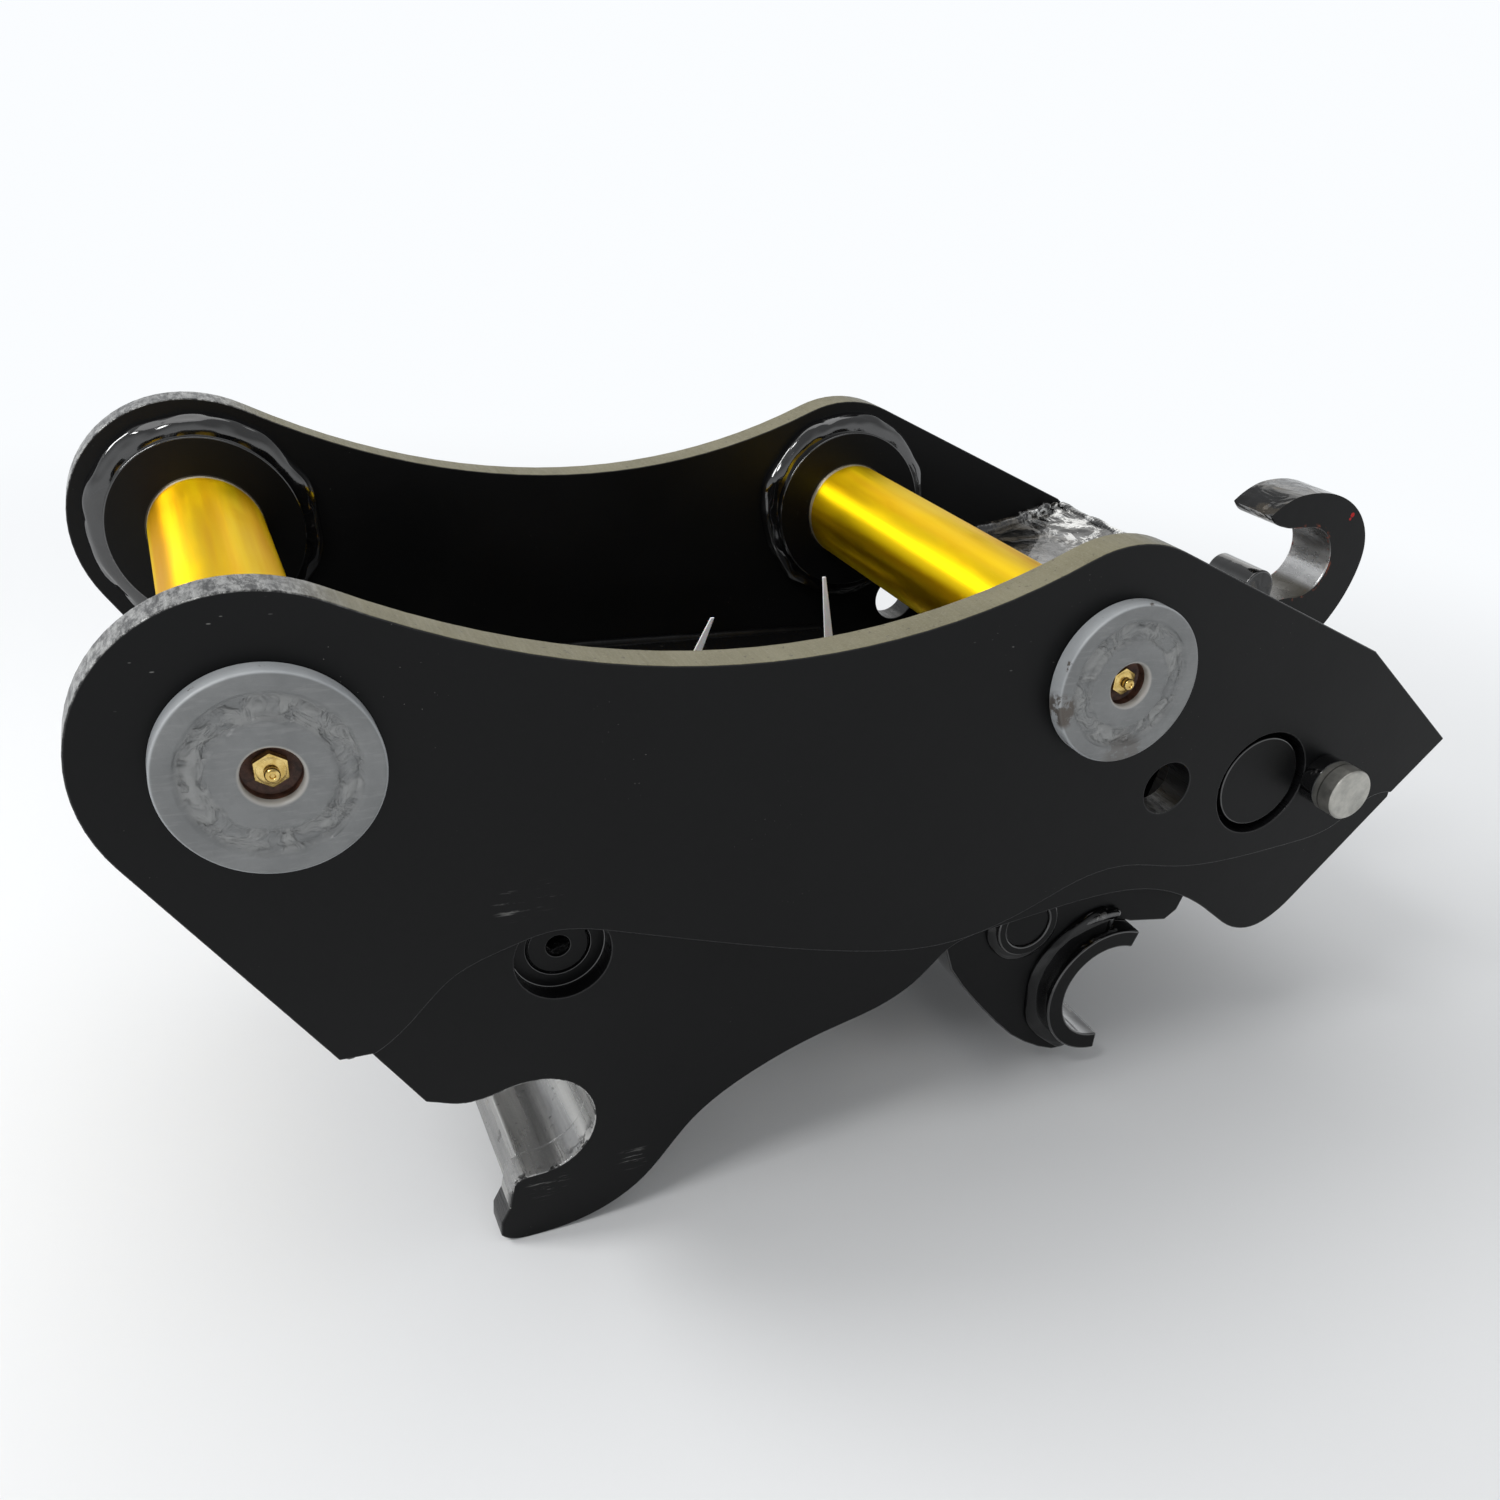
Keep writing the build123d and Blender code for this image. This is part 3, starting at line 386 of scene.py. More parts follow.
def grey_primer():
    """Brushed-on grey primer over turned steel and a sunken ring of weld, with painted highlights
    on the weld ring and the pocket's lip.
    """
    n = Nodes("grey_primer")
    radius = n.math("MINIMUM", n.reach(PIN_X[0], 0), n.reach(PIN_X[1], 0))
    cloud = n.noise(30.0, 5.0, 0.65)
    brush = n.noise(60.0, 4.0, 0.65, n.stretch((1.0, 1.0, 7.0)), 0.3)
    colour = n.mix(n.ramp(cloud, 0.3, 0.72), (0.145, 0.150, 0.151), (0.188, 0.193, 0.193))
    colour = n.mix(n.ramp(brush, 0.50, 0.72, 0.0, 0.5), colour, (0.225, 0.228, 0.226))
    weld = n.times(n.ramp(radius, 0.0285, 0.0315), n.ramp(radius, 0.0415, 0.0445, 1.0, 0.0))
    wavy = n.ramp(n.noise(70.0, 3.0, 0.6, None, 0.8), 0.38, 0.62)
    # painted highlight: the weld band's relief is real, its lighter wavy patches are painted light
    colour = n.mix(n.times(weld, wavy, 0.7), colour, (0.270, 0.272, 0.266))
    # painted highlight: the pocket's lip and chamfer are painted pale
    lip = n.times(n.ramp(radius, 0.0146, 0.0150), n.ramp(radius, 0.0158, 0.0172, 1.0, 0.0))
    colour = n.mix(n.times(lip, 0.8), colour, (0.40, 0.385, 0.36))
    rim = n.ramp(radius, 0.0535, 0.0548)
    colour = n.mix(rim, colour, n.mix(cloud, (0.30, 0.315, 0.325), (0.44, 0.455, 0.465)))
    spot = n.math("ADD", n.near(mm(473, -236, -14), 0.009, 0.006),
                  n.times(n.near(mm(530, -239, -50), 0.010, 0.01), 0.5), clamp=True)
    chips = n.times(spot, n.ramp(n.noise(120.0, 5.0, 0.72), 0.42, 0.50))
    chips = n.math("MAXIMUM", chips, n.times(rim, n.ramp(n.noise(85.0, 6.0, 0.75), 0.63, 0.67)))
    colour = n.mix(n.times(chips, 0.85), colour, (0.060, 0.043, 0.030))
    n.set(Base_Color=colour, Roughness=n.ramp(cloud, 0.2, 0.8, 0.30, 0.46),
          Specular_IOR_Level=0.5)
    return n.bump((n.noise(75.0, 4.0, 0.6), 0.0007), (brush, 0.0003),
                  (n.times(weld, wavy), 0.0015)).material


def rusty_bore():
    n = Nodes("rusty_counterbore")
    cloud = n.noise(180.0, 5.0, 0.7)
    colour = n.mix(n.ramp(cloud, 0.3, 0.7), (0.030, 0.014, 0.010), (0.125, 0.055, 0.036))
    n.set(Base_Color=colour, Roughness=0.55)
    return n.bump((cloud, 0.0004)).material


def metal(name, low, high, rough, scale, stretch=(1.0, 1.0, 1.0), relief=0.0001, tarnish=None):
    """Bare or plated metal whose tone and polish wander."""
    n = Nodes(name)
    cloud = n.noise(scale, 5.0, 0.62, n.stretch(stretch))
    colour = n.mix(n.ramp(cloud, 0.3, 0.7), low, high)
    if tarnish:
        stain = n.ramp(n.noise(scale * 0.4, 5.0, 0.7), 0.58, 0.75, 0.0, 0.6)
        colour = n.mix(stain, colour, tarnish)
    n.set(Base_Color=colour, Metallic=1.0,
          Roughness=n.ramp(cloud, 0.25, 0.75, rough * 0.8, rough * 1.3))
    return n.bump((n.noise(scale * 6, 3.0, 0.6, n.stretch(stretch)), relief)).material


def dull(name, low, high, rough):
    """A plain non-metal with a little unevenness."""
    n = Nodes(name)
    cloud = n.noise(80.0, 4.0)
    n.set(Base_Color=n.mix(n.ramp(cloud, 0.3, 0.7), low, high),
          Roughness=n.ramp(cloud, 0.2, 0.8, rough * 0.85, rough * 1.2))
    return n.bump((n.noise(400.0, 3.0), 0.0001)).material


def zinc_plate():
    """Plated bar head: turned rings on the face and a dark line near the foot."""
    n = Nodes("zinc_plate")
    radius = n.reach(*GUARD)
    turned = n.math("SINE", n.times(radius, 9000.0))
    cloud = n.noise(90.0, 5.0, 0.65)
    colour = n.mix(n.ramp(cloud, 0.3, 0.7), (0.34, 0.335, 0.31), (0.50, 0.49, 0.45))
    colour = n.mix(n.ramp(n.noise(34.0, 5.0, 0.7), 0.56, 0.72, 0.0, 0.6), colour,
                   (0.22, 0.205, 0.18))
    y = n.along("Y")
    line = n.times(n.ramp(y, -0.2446, -0.2441, 1.0, 0.0), n.ramp(y, -0.2460, -0.2454))
    colour = n.mix(n.times(line, 0.7), colour, (0.05, 0.048, 0.04))
    n.set(Base_Color=colour, Metallic=0.9, Roughness=n.ramp(cloud, 0.25, 0.75, 0.30, 0.46))
    return n.bump((turned, 0.00004), (n.noise(400.0, 3.0), 0.00008)).material


def hook_paint():
    """The lifting hook's sides: satin paint with a red speck and rust round the eye."""
    n = Nodes("lifting_hook_paint")
    red = n.near_any((mm(917, -25, 41), 0.0016, 0.0010), (mm(915.5, -25, 37.5), 0.0007, 0.0010))
    radius = n.reach(*HOOK_EYE_AT)
    rim = n.times(n.ramp(radius, 0.031, 0.033), n.ramp(radius, 0.033, 0.036, 1.0, 0.0))
    rust = n.times(rim, n.ramp(n.noise(120.0, 4.0, 0.7), 0.56, 0.62))
    colour = n.mix(n.noise(8.0), (0.0030, 0.0031, 0.0033), (0.0055, 0.0056, 0.0058))
    colour = n.mix(n.times(rust, 0.7), colour, (0.26, 0.06, 0.025))
    n.set(Base_Color=n.mix(red, colour, (0.46, 0.010, 0.010)), Roughness=0.34,
          Specular_IOR_Level=0.16)
    return n.bump((n.noise(320.0, 2.0), 0.00006), (n.noise(24.0, 2.0), 0.0006)).material


def hook_eye():
    """Bare silvery paint inside the hook, rusted in spots along its edges, with painted shade on
    the upper inside.
    """
    n = Nodes("hook_inside_paint")
    cloud = n.noise(45.0, 5.0, 0.7, n.stretch((1.0, 0.5, 1.0)))
    z = n.along("Z")
    low = n.times(n.ramp(z, 0.000, 0.010, 1.0, 0.0), n.ramp(z, -0.024, -0.020))
    edge = n.ramp(n.math("ABSOLUTE", n.along("Y")), 0.0205, 0.0235)
    rust = n.times(edge, n.ramp(n.noise(110.0, 5.0, 0.7), 0.54, 0.60))
    # painted shade: the upper inside of the eye, facing down, is painted darker
    shade = n.ramp(z, -0.002, 0.022)
    colour = n.mix(shade, n.mix(cloud, (0.20, 0.20, 0.20), (0.34, 0.34, 0.34)),
                   n.mix(cloud, (0.030, 0.030, 0.030), (0.10, 0.098, 0.095)))
    colour = n.mix(n.ramp(z, -0.027, -0.021, 1.0, 0.0), colour, (0.055, 0.050, 0.038))
    colour = n.mix(low, colour, n.mix(cloud, (0.42, 0.42, 0.42), (0.70, 0.70, 0.70)))
    colour = n.mix(n.times(rust, 0.8), colour, (0.30, 0.06, 0.03))
    n.set(Base_Color=colour, Metallic=n.times(low, 0.8),
          Roughness=n.ramp(cloud, 0.3, 0.7, 0.2, 0.36))
    return n.bump((cloud, 0.0008), (n.noise(300.0, 3.0), 0.0002)).material


def nylon():
    n = Nodes("white_nylon")
    cloud = n.noise(90.0, 3.0)
    n.set(Base_Color=n.mix(cloud, (0.90, 0.92, 0.95), (0.96, 0.97, 0.98)),
          Roughness=n.ramp(cloud, 0.2, 0.8, 0.34, 0.5), Subsurface_Weight=0.15,
          Subsurface_Scale=0.002)
    return n.bump((n.noise(500.0, 2.0), 0.00003)).material


SATIN = satin_paint()
EDGE = cut_edge()
GLOSS = gloss_paint()
WELD = gloss_paint("weld_under_paint", silver=-0.02, ripple=0.0005)
SOFT_WELD = gloss_paint("soft_weld", silver=-0.2, ripple=0.0006, shine=0.3, coat=0.15)
BRIGHT_WELD = gloss_paint("bright_weld", silver=0.10, ripple=0.0008, tint=(0.34, 0.33, 0.32))
HOOK_TOP = gloss_paint("hook_top_paint", silver=0.12, ripple=0.0030, along=(1.6, 0.8, 1.6),
                       tint=(0.085, 0.074, 0.060), shine=0.5, coat=0.12)
JAW = jaw_metal()
SCOOP = rippled_paint()
HOOK = hook_paint()
HOOK_EYE = hook_eye()
GOLD = yellow_chromate()
PRIMER = grey_primer()
RUST = rusty_bore()
BRASS = metal("brass", (0.56, 0.38, 0.11), (0.80, 0.60, 0.24), 0.22, 200.0,
              tarnish=(0.26, 0.17, 0.06))
ZINC = zinc_plate()
BRONZE = metal("bronze", (0.42, 0.26, 0.10), (0.60, 0.40, 0.18), 0.3, 70.0,
               tarnish=(0.20, 0.12, 0.06))
STEEL = metal("turned_steel", (0.36, 0.36, 0.36), (0.52, 0.52, 0.51), 0.3, 60.0, (1.0, 6.0, 1.0))
CHROME = metal("hard_chrome", (0.66, 0.67, 0.69), (0.76, 0.77, 0.78), 0.1, 30.0, relief=0.00002)
RUBBER = dull("seal_rubber", (0.010, 0.010, 0.010), (0.018, 0.018, 0.018), 0.6)
NYLON = nylon()
CAP = dull("yellow_port_cap", (0.60, 0.30, 0.012), (0.74, 0.42, 0.02), 0.34)
# each slot's material on a piece's sides and on its rims
SKIN = {
    "black_paint": (SATIN, EDGE), "yellow_chromate": (GOLD, GOLD), "grey_primer": (PRIMER, PRIMER),
    "brass": (BRASS, BRASS), "zinc_plate": (ZINC, ZINC), "bronze": (BRONZE, BRONZE),
    "machined_steel": (STEEL, STEEL), "hard_chrome": (CHROME, CHROME),
    "seal_rubber": (RUBBER, RUBBER), "white_nylon": (NYLON, NYLON), "yellow_plastic": (CAP, CAP),
}


# ---- geometry ----
def finished(bm, name, materials, body, sharp=38.0, replaces=()):
    """A mesh piece from a bmesh, shaded, given its materials and put on its body."""
    mesh = bpy.data.meshes.new(name)
    bm.to_mesh(mesh)
    bm.free()
    for material in materials:
        mesh.materials.append(material)
    for face in mesh.polygons:
        face.use_smooth = True
    mesh.set_sharp_from_angle(angle=math.radians(sharp))
    piece = bpy.data.objects.new(name, mesh)
    bpy.context.scene.collection.objects.link(piece)
    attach(piece, body)
    if replaces:
        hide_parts(*replaces)
    return piece


def side_or_rim(face):
    """0 for a side of the coupler's plates, 1 for a rim."""
    return 0 if abs(face.normal.y) > SIDE_NORMAL else 1


def eased(node, edge, skins=None, chooser=side_or_rim):
    """A CAD piece with its edges broken; chooser says which of the skins a face takes."""
    bm = bmesh.new()
    bm.from_mesh(frame["nodes"][node].data)
    bmesh.ops.remove_doubles(bm, verts=bm.verts, dist=SAME_POINT / 1000)
    bmesh.ops.dissolve_limit(
        bm, angle_limit=math.radians(FLAT_ANGLE), verts=bm.verts, edges=bm.edges,
        delimit={"NORMAL"},
    )
    creases = [
        item for item in bm.edges
        if len(item.link_faces) == 2 and item.calc_face_angle(0) > math.radians(CREASE_ANGLE)
    ]
    bmesh.ops.bevel(
        bm, geom=creases, offset=edge / 1000, segments=BEVEL_STEPS, profile=0.5,
        affect="EDGES", clamp_overlap=True,
    )
    for face in bm.faces:
        face.material_index = chooser(face)
    piece = finished(bm, node + "_finish", skins or SKIN[SLOT[node]], BODY[node],
                     34.0, (node,))
    weighted = piece.modifiers.new("even_normals", "WEIGHTED_NORMAL")
    weighted.keep_sharp = True


def lathe(name, profile, x, z, materials, body, slot, turns, replaces=(), indices=None,
          uneven=None):
    """A turned piece across the coupler, from (radius, y) pairs in mm.

    uneven is (from radius, to radius, amount): that band is pushed about like laid weld.
    """
    bm = bmesh.new()
    rings = []
    for radius, y in profile:
        if radius < 1e-6:
            rings.append([bm.verts.new(mm(x, y, z))])
            continue
        ring = []
        for k in range(turns):
            turn = 2 * math.pi * k / turns
            across, along = radius, y
            if uneven and uneven[0] < radius < uneven[1]:
                spot = Vector((math.cos(turn), math.sin(turn), radius / 40 + x)) * 3.4
                across += uneven[2] * noise.noise(spot)
                along += 0.5 * uneven[2] * noise.noise(spot * 2.3)
            ring.append(bm.verts.new(
                mm(x + across * math.cos(turn), along, z + across * math.sin(turn))))
        rings.append(ring)
    for step, (first, second) in enumerate(zip(rings, rings[1:])):
        for k in range(turns):
            corners = [first[k % len(first)], first[(k + 1) % len(first)],
                       second[(k + 1) % len(second)], second[k % len(second)]]
            corners = list(dict.fromkeys(corners))
            if len(corners) > 2:
                face = bm.faces.new(corners)
                face.material_index = indices[step] if indices else 0
    bmesh.ops.recalc_face_normals(bm, faces=bm.faces)
    finished(bm, name, materials, body, replaces=replaces)


def resampled(points, step):
    """Points every step millimetres along a polyline."""
    out, left = [points[0]], step
    for a, b in zip(points, points[1:]):
        run = (b - a).length
        while run >= left:
            a = a + (b - a).normalized() * left
            out.append(a)
            run = (b - a).length
            left = step
        left -= run
    return out


def curved(points, step=4.0):
    """A smooth line through points in mm (Catmull-Rom), as a dense polyline."""
    points = [Vector(point) for point in points]
    padded = [2 * points[0] - points[1], *points, 2 * points[-1] - points[-2]]
    out = []
    for a, b, c, d in zip(padded, padded[1:], padded[2:], padded[3:]):
        count = max(2, int((c - b).length / step))
        for k in range(count):
            t = k / count
            out.append(0.5 * ((2 * b) + (c - a) * t + (2 * a - 5 * b + 4 * c - d) * t * t
                              + (3 * b - a - 3 * c + d) * t ** 3))
    return [*out, points[-1]]


def at_y(y, *spots):
    """Points in mm at one y, from (x, z) pairs."""
    return [Vector((x, y, z)) for x, z in spots]


def circle(x, y, z, radius, start=0.0, stop=360.0, count=180):
    """Points in mm on an arc round an axis across the coupler, in degrees."""
    return [
        Vector((x + radius * math.cos(math.radians(start + (stop - start) * k / count)), y,
                z + radius * math.sin(math.radians(start + (stop - start) * k / count))))
        for k in range(count + 1)
    ]


def bead(name, points, radius, body, material=None, closed=False, ripple=0.015, wander=0.14,
         reach=22.0, lump=0.05, taper=(1.0, 1.0), seed=0.0, sides=18, step=1.5):
    """A weld bead along a line in mm: smooth under its paint, uneven in width and facets.

    reach is the length of one swell, lump the unevenness round the bead, and taper the
    scale of its two ends.
    """
    points = resampled(points, step)
    if closed and (points[-1] - points[0]).length < step * 0.6:
        points = points[:-1]
    count = len(points)
    bm = bmesh.new()
    rings = []
    previous = None
    for k, point in enumerate(points):
        after = points[(k + 1) % count] if closed or k + 1 < count else point
        before = points[k - 1] if closed or k else point
        direction = (after - before).normalized()
        side = previous if previous else direction.orthogonal()
        side = (side - direction * side.dot(direction)).normalized()
        previous = side
        other = direction.cross(side)
        share = k / max(1, count - 1)
        spot = point / reach + Vector((seed, seed * 0.7, 0))
        grow = (taper[0] + (taper[1] - taper[0]) * share) * (1 + wander * noise.noise(spot) * 1.6)
        grow *= 1 + ripple * math.sin(2 * math.pi * k * step / RIPPLE_LENGTH)
        if not closed:
            end = min(k, count - 1 - k) * step / (radius * 1.2)
            grow *= math.sqrt(max(0.02, min(1.0, end)))
        ring = []
        for j in range(sides):
            turn = 2 * math.pi * j / sides
            out = side * math.cos(turn) + other * math.sin(turn)
            place = point + out * radius * grow
            bump = noise.noise(place / (reach * 0.5) + Vector((seed, 0, 0)))
            place += out * radius * lump * 2 * bump
            ring.append(bm.verts.new(place / 1000))
        rings.append(ring)
    pairs = list(zip(rings, rings[1:]))
    if closed:
        # the frame has turned a little on its way round, so the last join is matched up
        shift = min(range(sides), key=lambda s: (rings[0][s].co - rings[-1][0].co).length)
        pairs.append((rings[-1], rings[0][shift:] + rings[0][:shift]))
    for first, second in pairs:
        for j in range(sides):
            bm.faces.new((first[j], first[(j + 1) % sides], second[(j + 1) % sides], second[j]))
    if not closed:
        bm.faces.new(rings[0][::-1])
        bm.faces.new(rings[-1])
    bmesh.ops.recalc_face_normals(bm, faces=bm.faces)
    finished(bm, name, [material or WELD], body, sharp=80.0)


def fillet_ring(name, x, z, radius, plate, side, legs, body, material=None, arc=(0.0, 360.0),
                wander=0.16, reach=24.0, swell=0.0, seed=0.0, rows=12):
    """A fillet weld where a round boss stands on a plate at y = plate, towards side.

    legs are its reach over the plate and up the boss; swell widens the start of an open arc.
    """
    span = math.radians(arc[1] - arc[0])
    closed = arc == (0.0, 360.0)
    count = int(span * radius / FILLET_STEP)
    bm = bmesh.new()
    rings = []
    for k in range(count if closed else count + 1):
        turn = math.radians(arc[0]) + span * k / count
        spot = Vector((math.cos(turn), math.sin(turn), seed / radius)) * (radius / reach)
        out = legs[0] * (1 + wander * 1.7 * noise.noise(spot))
        rise = legs[1] * (1 + wander * 0.8 * noise.noise(spot * 1.3 + Vector((9, 4, seed))))
        out *= 1 + swell * (1 - k / count) ** 2
        rise *= 1 + 0.5 * swell * (1 - k / count) ** 2
        if not closed:
            run = min(k, count - k) * FILLET_STEP + 0.5
            end = math.sqrt(min(1.0, run / (legs[0] * 1.2)))
            out, rise = out * end, rise * end
        ring = []
        for row in range(rows + 1):
            t = row / rows * math.pi / 2
            facet = 1 + 0.09 * math.sin(2 * t) * noise.noise(spot * 1.8 + Vector((0, 0, row * 0.3)))
            across = radius + out * facet * math.cos(t) ** 0.8
            up = rise * facet * math.sin(t) ** 0.8
            ring.append((across if row < rows else radius - FILLET_SINK,
                         up if row else -FILLET_SINK))
        ring.append((radius - FILLET_SINK, -FILLET_SINK))
        rings.append([bm.verts.new(mm(x + r * math.cos(turn), plate + side * h,
                                      z + r * math.sin(turn))) for r, h in ring])
    pairs = list(zip(rings, rings[1:]))
    if closed:
        pairs.append((rings[-1], rings[0]))
    size = rows + 2
    for first, second in pairs:
        for j in range(size):
            bm.faces.new((first[j], first[(j + 1) % size], second[(j + 1) % size], second[j]))
    if not closed:
        bm.faces.new(rings[0][::-1])
        bm.faces.new(rings[-1])
    bmesh.ops.recalc_face_normals(bm, faces=bm.faces)
    finished(bm, name, [material or WELD], body, sharp=60.0)


# ---- the CAD pieces, with broken edges and their finishes ----
def jaw_face(face):
    """Sides 0, cut edges 1, and 2 for the round of the front jaw and its lip."""
    if abs(face.normal.y) > SIDE_NORMAL:
        return 0
    spot = face.calc_center_median() * 1000
    away = math.hypot(spot.x - FRONT_JAW[0], spot.z - FRONT_JAW[1])
    lip = spot.x < JAW_LIP[0] and spot.z < JAW_LIP[1]
    return 2 if away < JAW_LINER_R or lip else 1


def hook_face(face):
    """Sides 0, the inside of the eye 1, and 2 for the rest of the rim."""
    if abs(face.normal.y) > SIDE_NORMAL:
        return 0
    spot = face.calc_center_median() * 1000
    away = math.hypot(spot.x - HOOK_EYE_AT[0], spot.z - HOOK_EYE_AT[1])
    return 1 if away < HOOK_EYE_R else 2


# the width in mm of a piece's broken edges, where it isn't the usual one
USUAL_EDGE = 0.9
EDGES = {
    "retaining_bolts": 0.8, "retaining_nuts": 0.8, "port_adapters": 0.5, "port_caps": 0.8,
    "feed_tube": 0.3, "rod_wiper": 0.3, "piston_seal": 0.3, "front_cable_tie": 0.7,
    "rear_cable_tie": 0.7, "anchor_eye_bush": 0.4, "pivot_bushes": 0.4, "safety_bar": 0.8,
    "front_jaw_saddle": 0.8, "rear_jaw_saddle": 1.6, "rear_cross_plate": 1.0,
    "rear_end_plate": 1.0, "lifting_hook": 2.6, "sling_tip_block": 1.8, "deck_plate": 0.8,
    "left_hook_arm": 1.2, "right_hook_arm": 1.2, "left_stick_boss": 1.0,
    "right_stick_boss": 1.0, "left_link_boss": 1.0, "right_link_boss": 1.0,
    "hook_pivot_shaft": 1.2, "rod_pin_keepers": 1.4, "cylinder_anchor_pin": 0.3,
    "anchor_pin_bushes": 0.4, "cylinder_barrel": 1.0, "safety_bar_sleeve": 0.8,
}
# pieces whose skins aren't those of their slot
SKINS = {
    "front_jaw_saddle": (JAW, JAW), "left_hook_plate": (SATIN, EDGE, JAW),
    "right_hook_plate": (SATIN, EDGE, JAW), "rear_cross_plate": (SATIN, SCOOP),
    "lifting_hook": (HOOK, HOOK_EYE, HOOK_TOP), "sling_tip_block": (HOOK_TOP, GLOSS),
    "deck_plate": (GLOSS, GLOSS), "cylinder_barrel": (SATIN, SATIN),
}
for node in ("rear_jaw_saddle", "rear_end_plate", "left_hook_arm", "right_hook_arm",
             "left_stick_boss", "right_stick_boss", "left_link_boss", "right_link_boss",
             "hook_pivot_shaft", "rod_pin_keepers", "cylinder_anchor_pin", "anchor_pin_bushes",
             "safety_bar_sleeve"):
    SKINS[node] = (SATIN, GLOSS)
CHOOSERS = {"left_hook_plate": jaw_face, "right_hook_plate": jaw_face, "lifting_hook": hook_face}
BY_HAND = {"stick_pin_cap", "link_pin_cap", "stick_grease_nipple", "link_grease_nipple"}
for node in frame["nodes"]:
    if node not in BY_HAND:
        eased(node, EDGES.get(node, USUAL_EDGE), SKINS.get(node),
              CHOOSERS.get(node, side_or_rim))


def pin_head(station, x):
    """A turned cap with a sunken ring of weld, and a grease nipple down in its pocket."""
    face = -EAR_OUT - CAP_W
    profile = [
        (PIN_R, -EAR_OUT), (CAP_R - 1, -EAR_OUT), (CAP_R, -EAR_OUT - 1), (CAP_R, face + 2.0),
        (CAP_R - 0.4, face + 0.9), (CAP_R - 1.2, face + 0.25), (CAP_R - 2.4, face),
        (46.0, face), (45.0, face + 0.3), (44.0, face + 1.3), (42.8, face + 2.8),
        (41.4, face + 3.3), (39.4, face + 2.6), (37.2, face + 1.9), (35.0, face + 2.1),
        (33.2, face + 2.9), (31.8, face + 2.8), (30.6, face + 1.6), (29.4, face + 0.4),
        (28.0, face + 0.1), (22.0, face + 0.1), (POCKET_R + 2.4, face + 0.1),
        (POCKET_R + 1.1, face + 0.5), (POCKET_R + 0.3, face + 1.4), (POCKET_R, face + 2.6),
        (POCKET_R, face + 6), (POCKET_R, -EAR_OUT),
    ]
    indices = [0] * (len(profile) - 2) + [1]  # the pocket's wall is rusty
    lathe(station + "_pin_head", profile, x, 0.0, [PRIMER, RUST], "frame", "grey_primer",
          160, (station + "_pin_cap",), indices, uneven=(29.0, 44.5, 1.6))
    foot = -EAR_OUT - 0.5
    lathe(station + "_pin_pocket_floor", [
        (0, foot), (POCKET_R - 1.5, foot), (POCKET_R, foot - 1.1),
        (POCKET_R, -EAR_OUT + 0.2), (0, -EAR_OUT + 0.2),
    ], x, 0.0, [RUST], "frame", "grey_primer", 64)
    bm = bmesh.new()
    bmesh.ops.create_cone(
        bm, cap_ends=True, segments=6, radius1=NIPPLE_R / 1000, radius2=NIPPLE_R / 1000,
        depth=NIPPLE_W / 1000,
        matrix=(Matrix.Translation(mm(x, foot - NIPPLE_W / 2, 0))
                @ Matrix.Rotation(math.pi / 2, 4, "X")),
    )
    bmesh.ops.bevel(bm, geom=list(bm.edges), offset=0.0008, segments=2, profile=0.5,
                    affect="EDGES")
    finished(bm, station + "_nipple_hexagon", [BRASS], "frame",
             replaces=(station + "_grease_nipple",))
    tip = foot - NIPPLE_W
    lathe(station + "_nipple_head", [
        (0, tip + 0.6), (7.4, tip + 0.6), (7.4, tip - 0.1), (6.2, tip - 0.7), (3.8, tip - 1.1),
        (3.4, tip - 2.0), (3.3, tip - 2.8), (3.9, tip - 3.8), (3.9, tip - 5.4),
        (3.4, tip - 6.4), (2.5, tip - 6.9), (1.6, tip - 7.0), (1.3, tip - 6.6),
        (1.0, tip - 5.9), (0, tip - 5.8),
    ], x, 0.0, [BRASS], "frame", "brass", 40)


for station, x in zip(("stick", "link"), PIN_X):
    pin_head(station, x)

# crests and valleys of thread in the puller holes of the anchor pin
for sign, hand in ((-1, "left"), (1, "right")):
    thread = [(PULLER_R + (0.05 if k % 2 else -0.85), sign * (ANCHOR_END - 1.6 - k))
              for k in range(PULLER_TURNS)]
    lathe(f"{hand}_puller_threads", thread, *ANCHOR, [BRIGHT_WELD], "frame", "black_paint", 48)


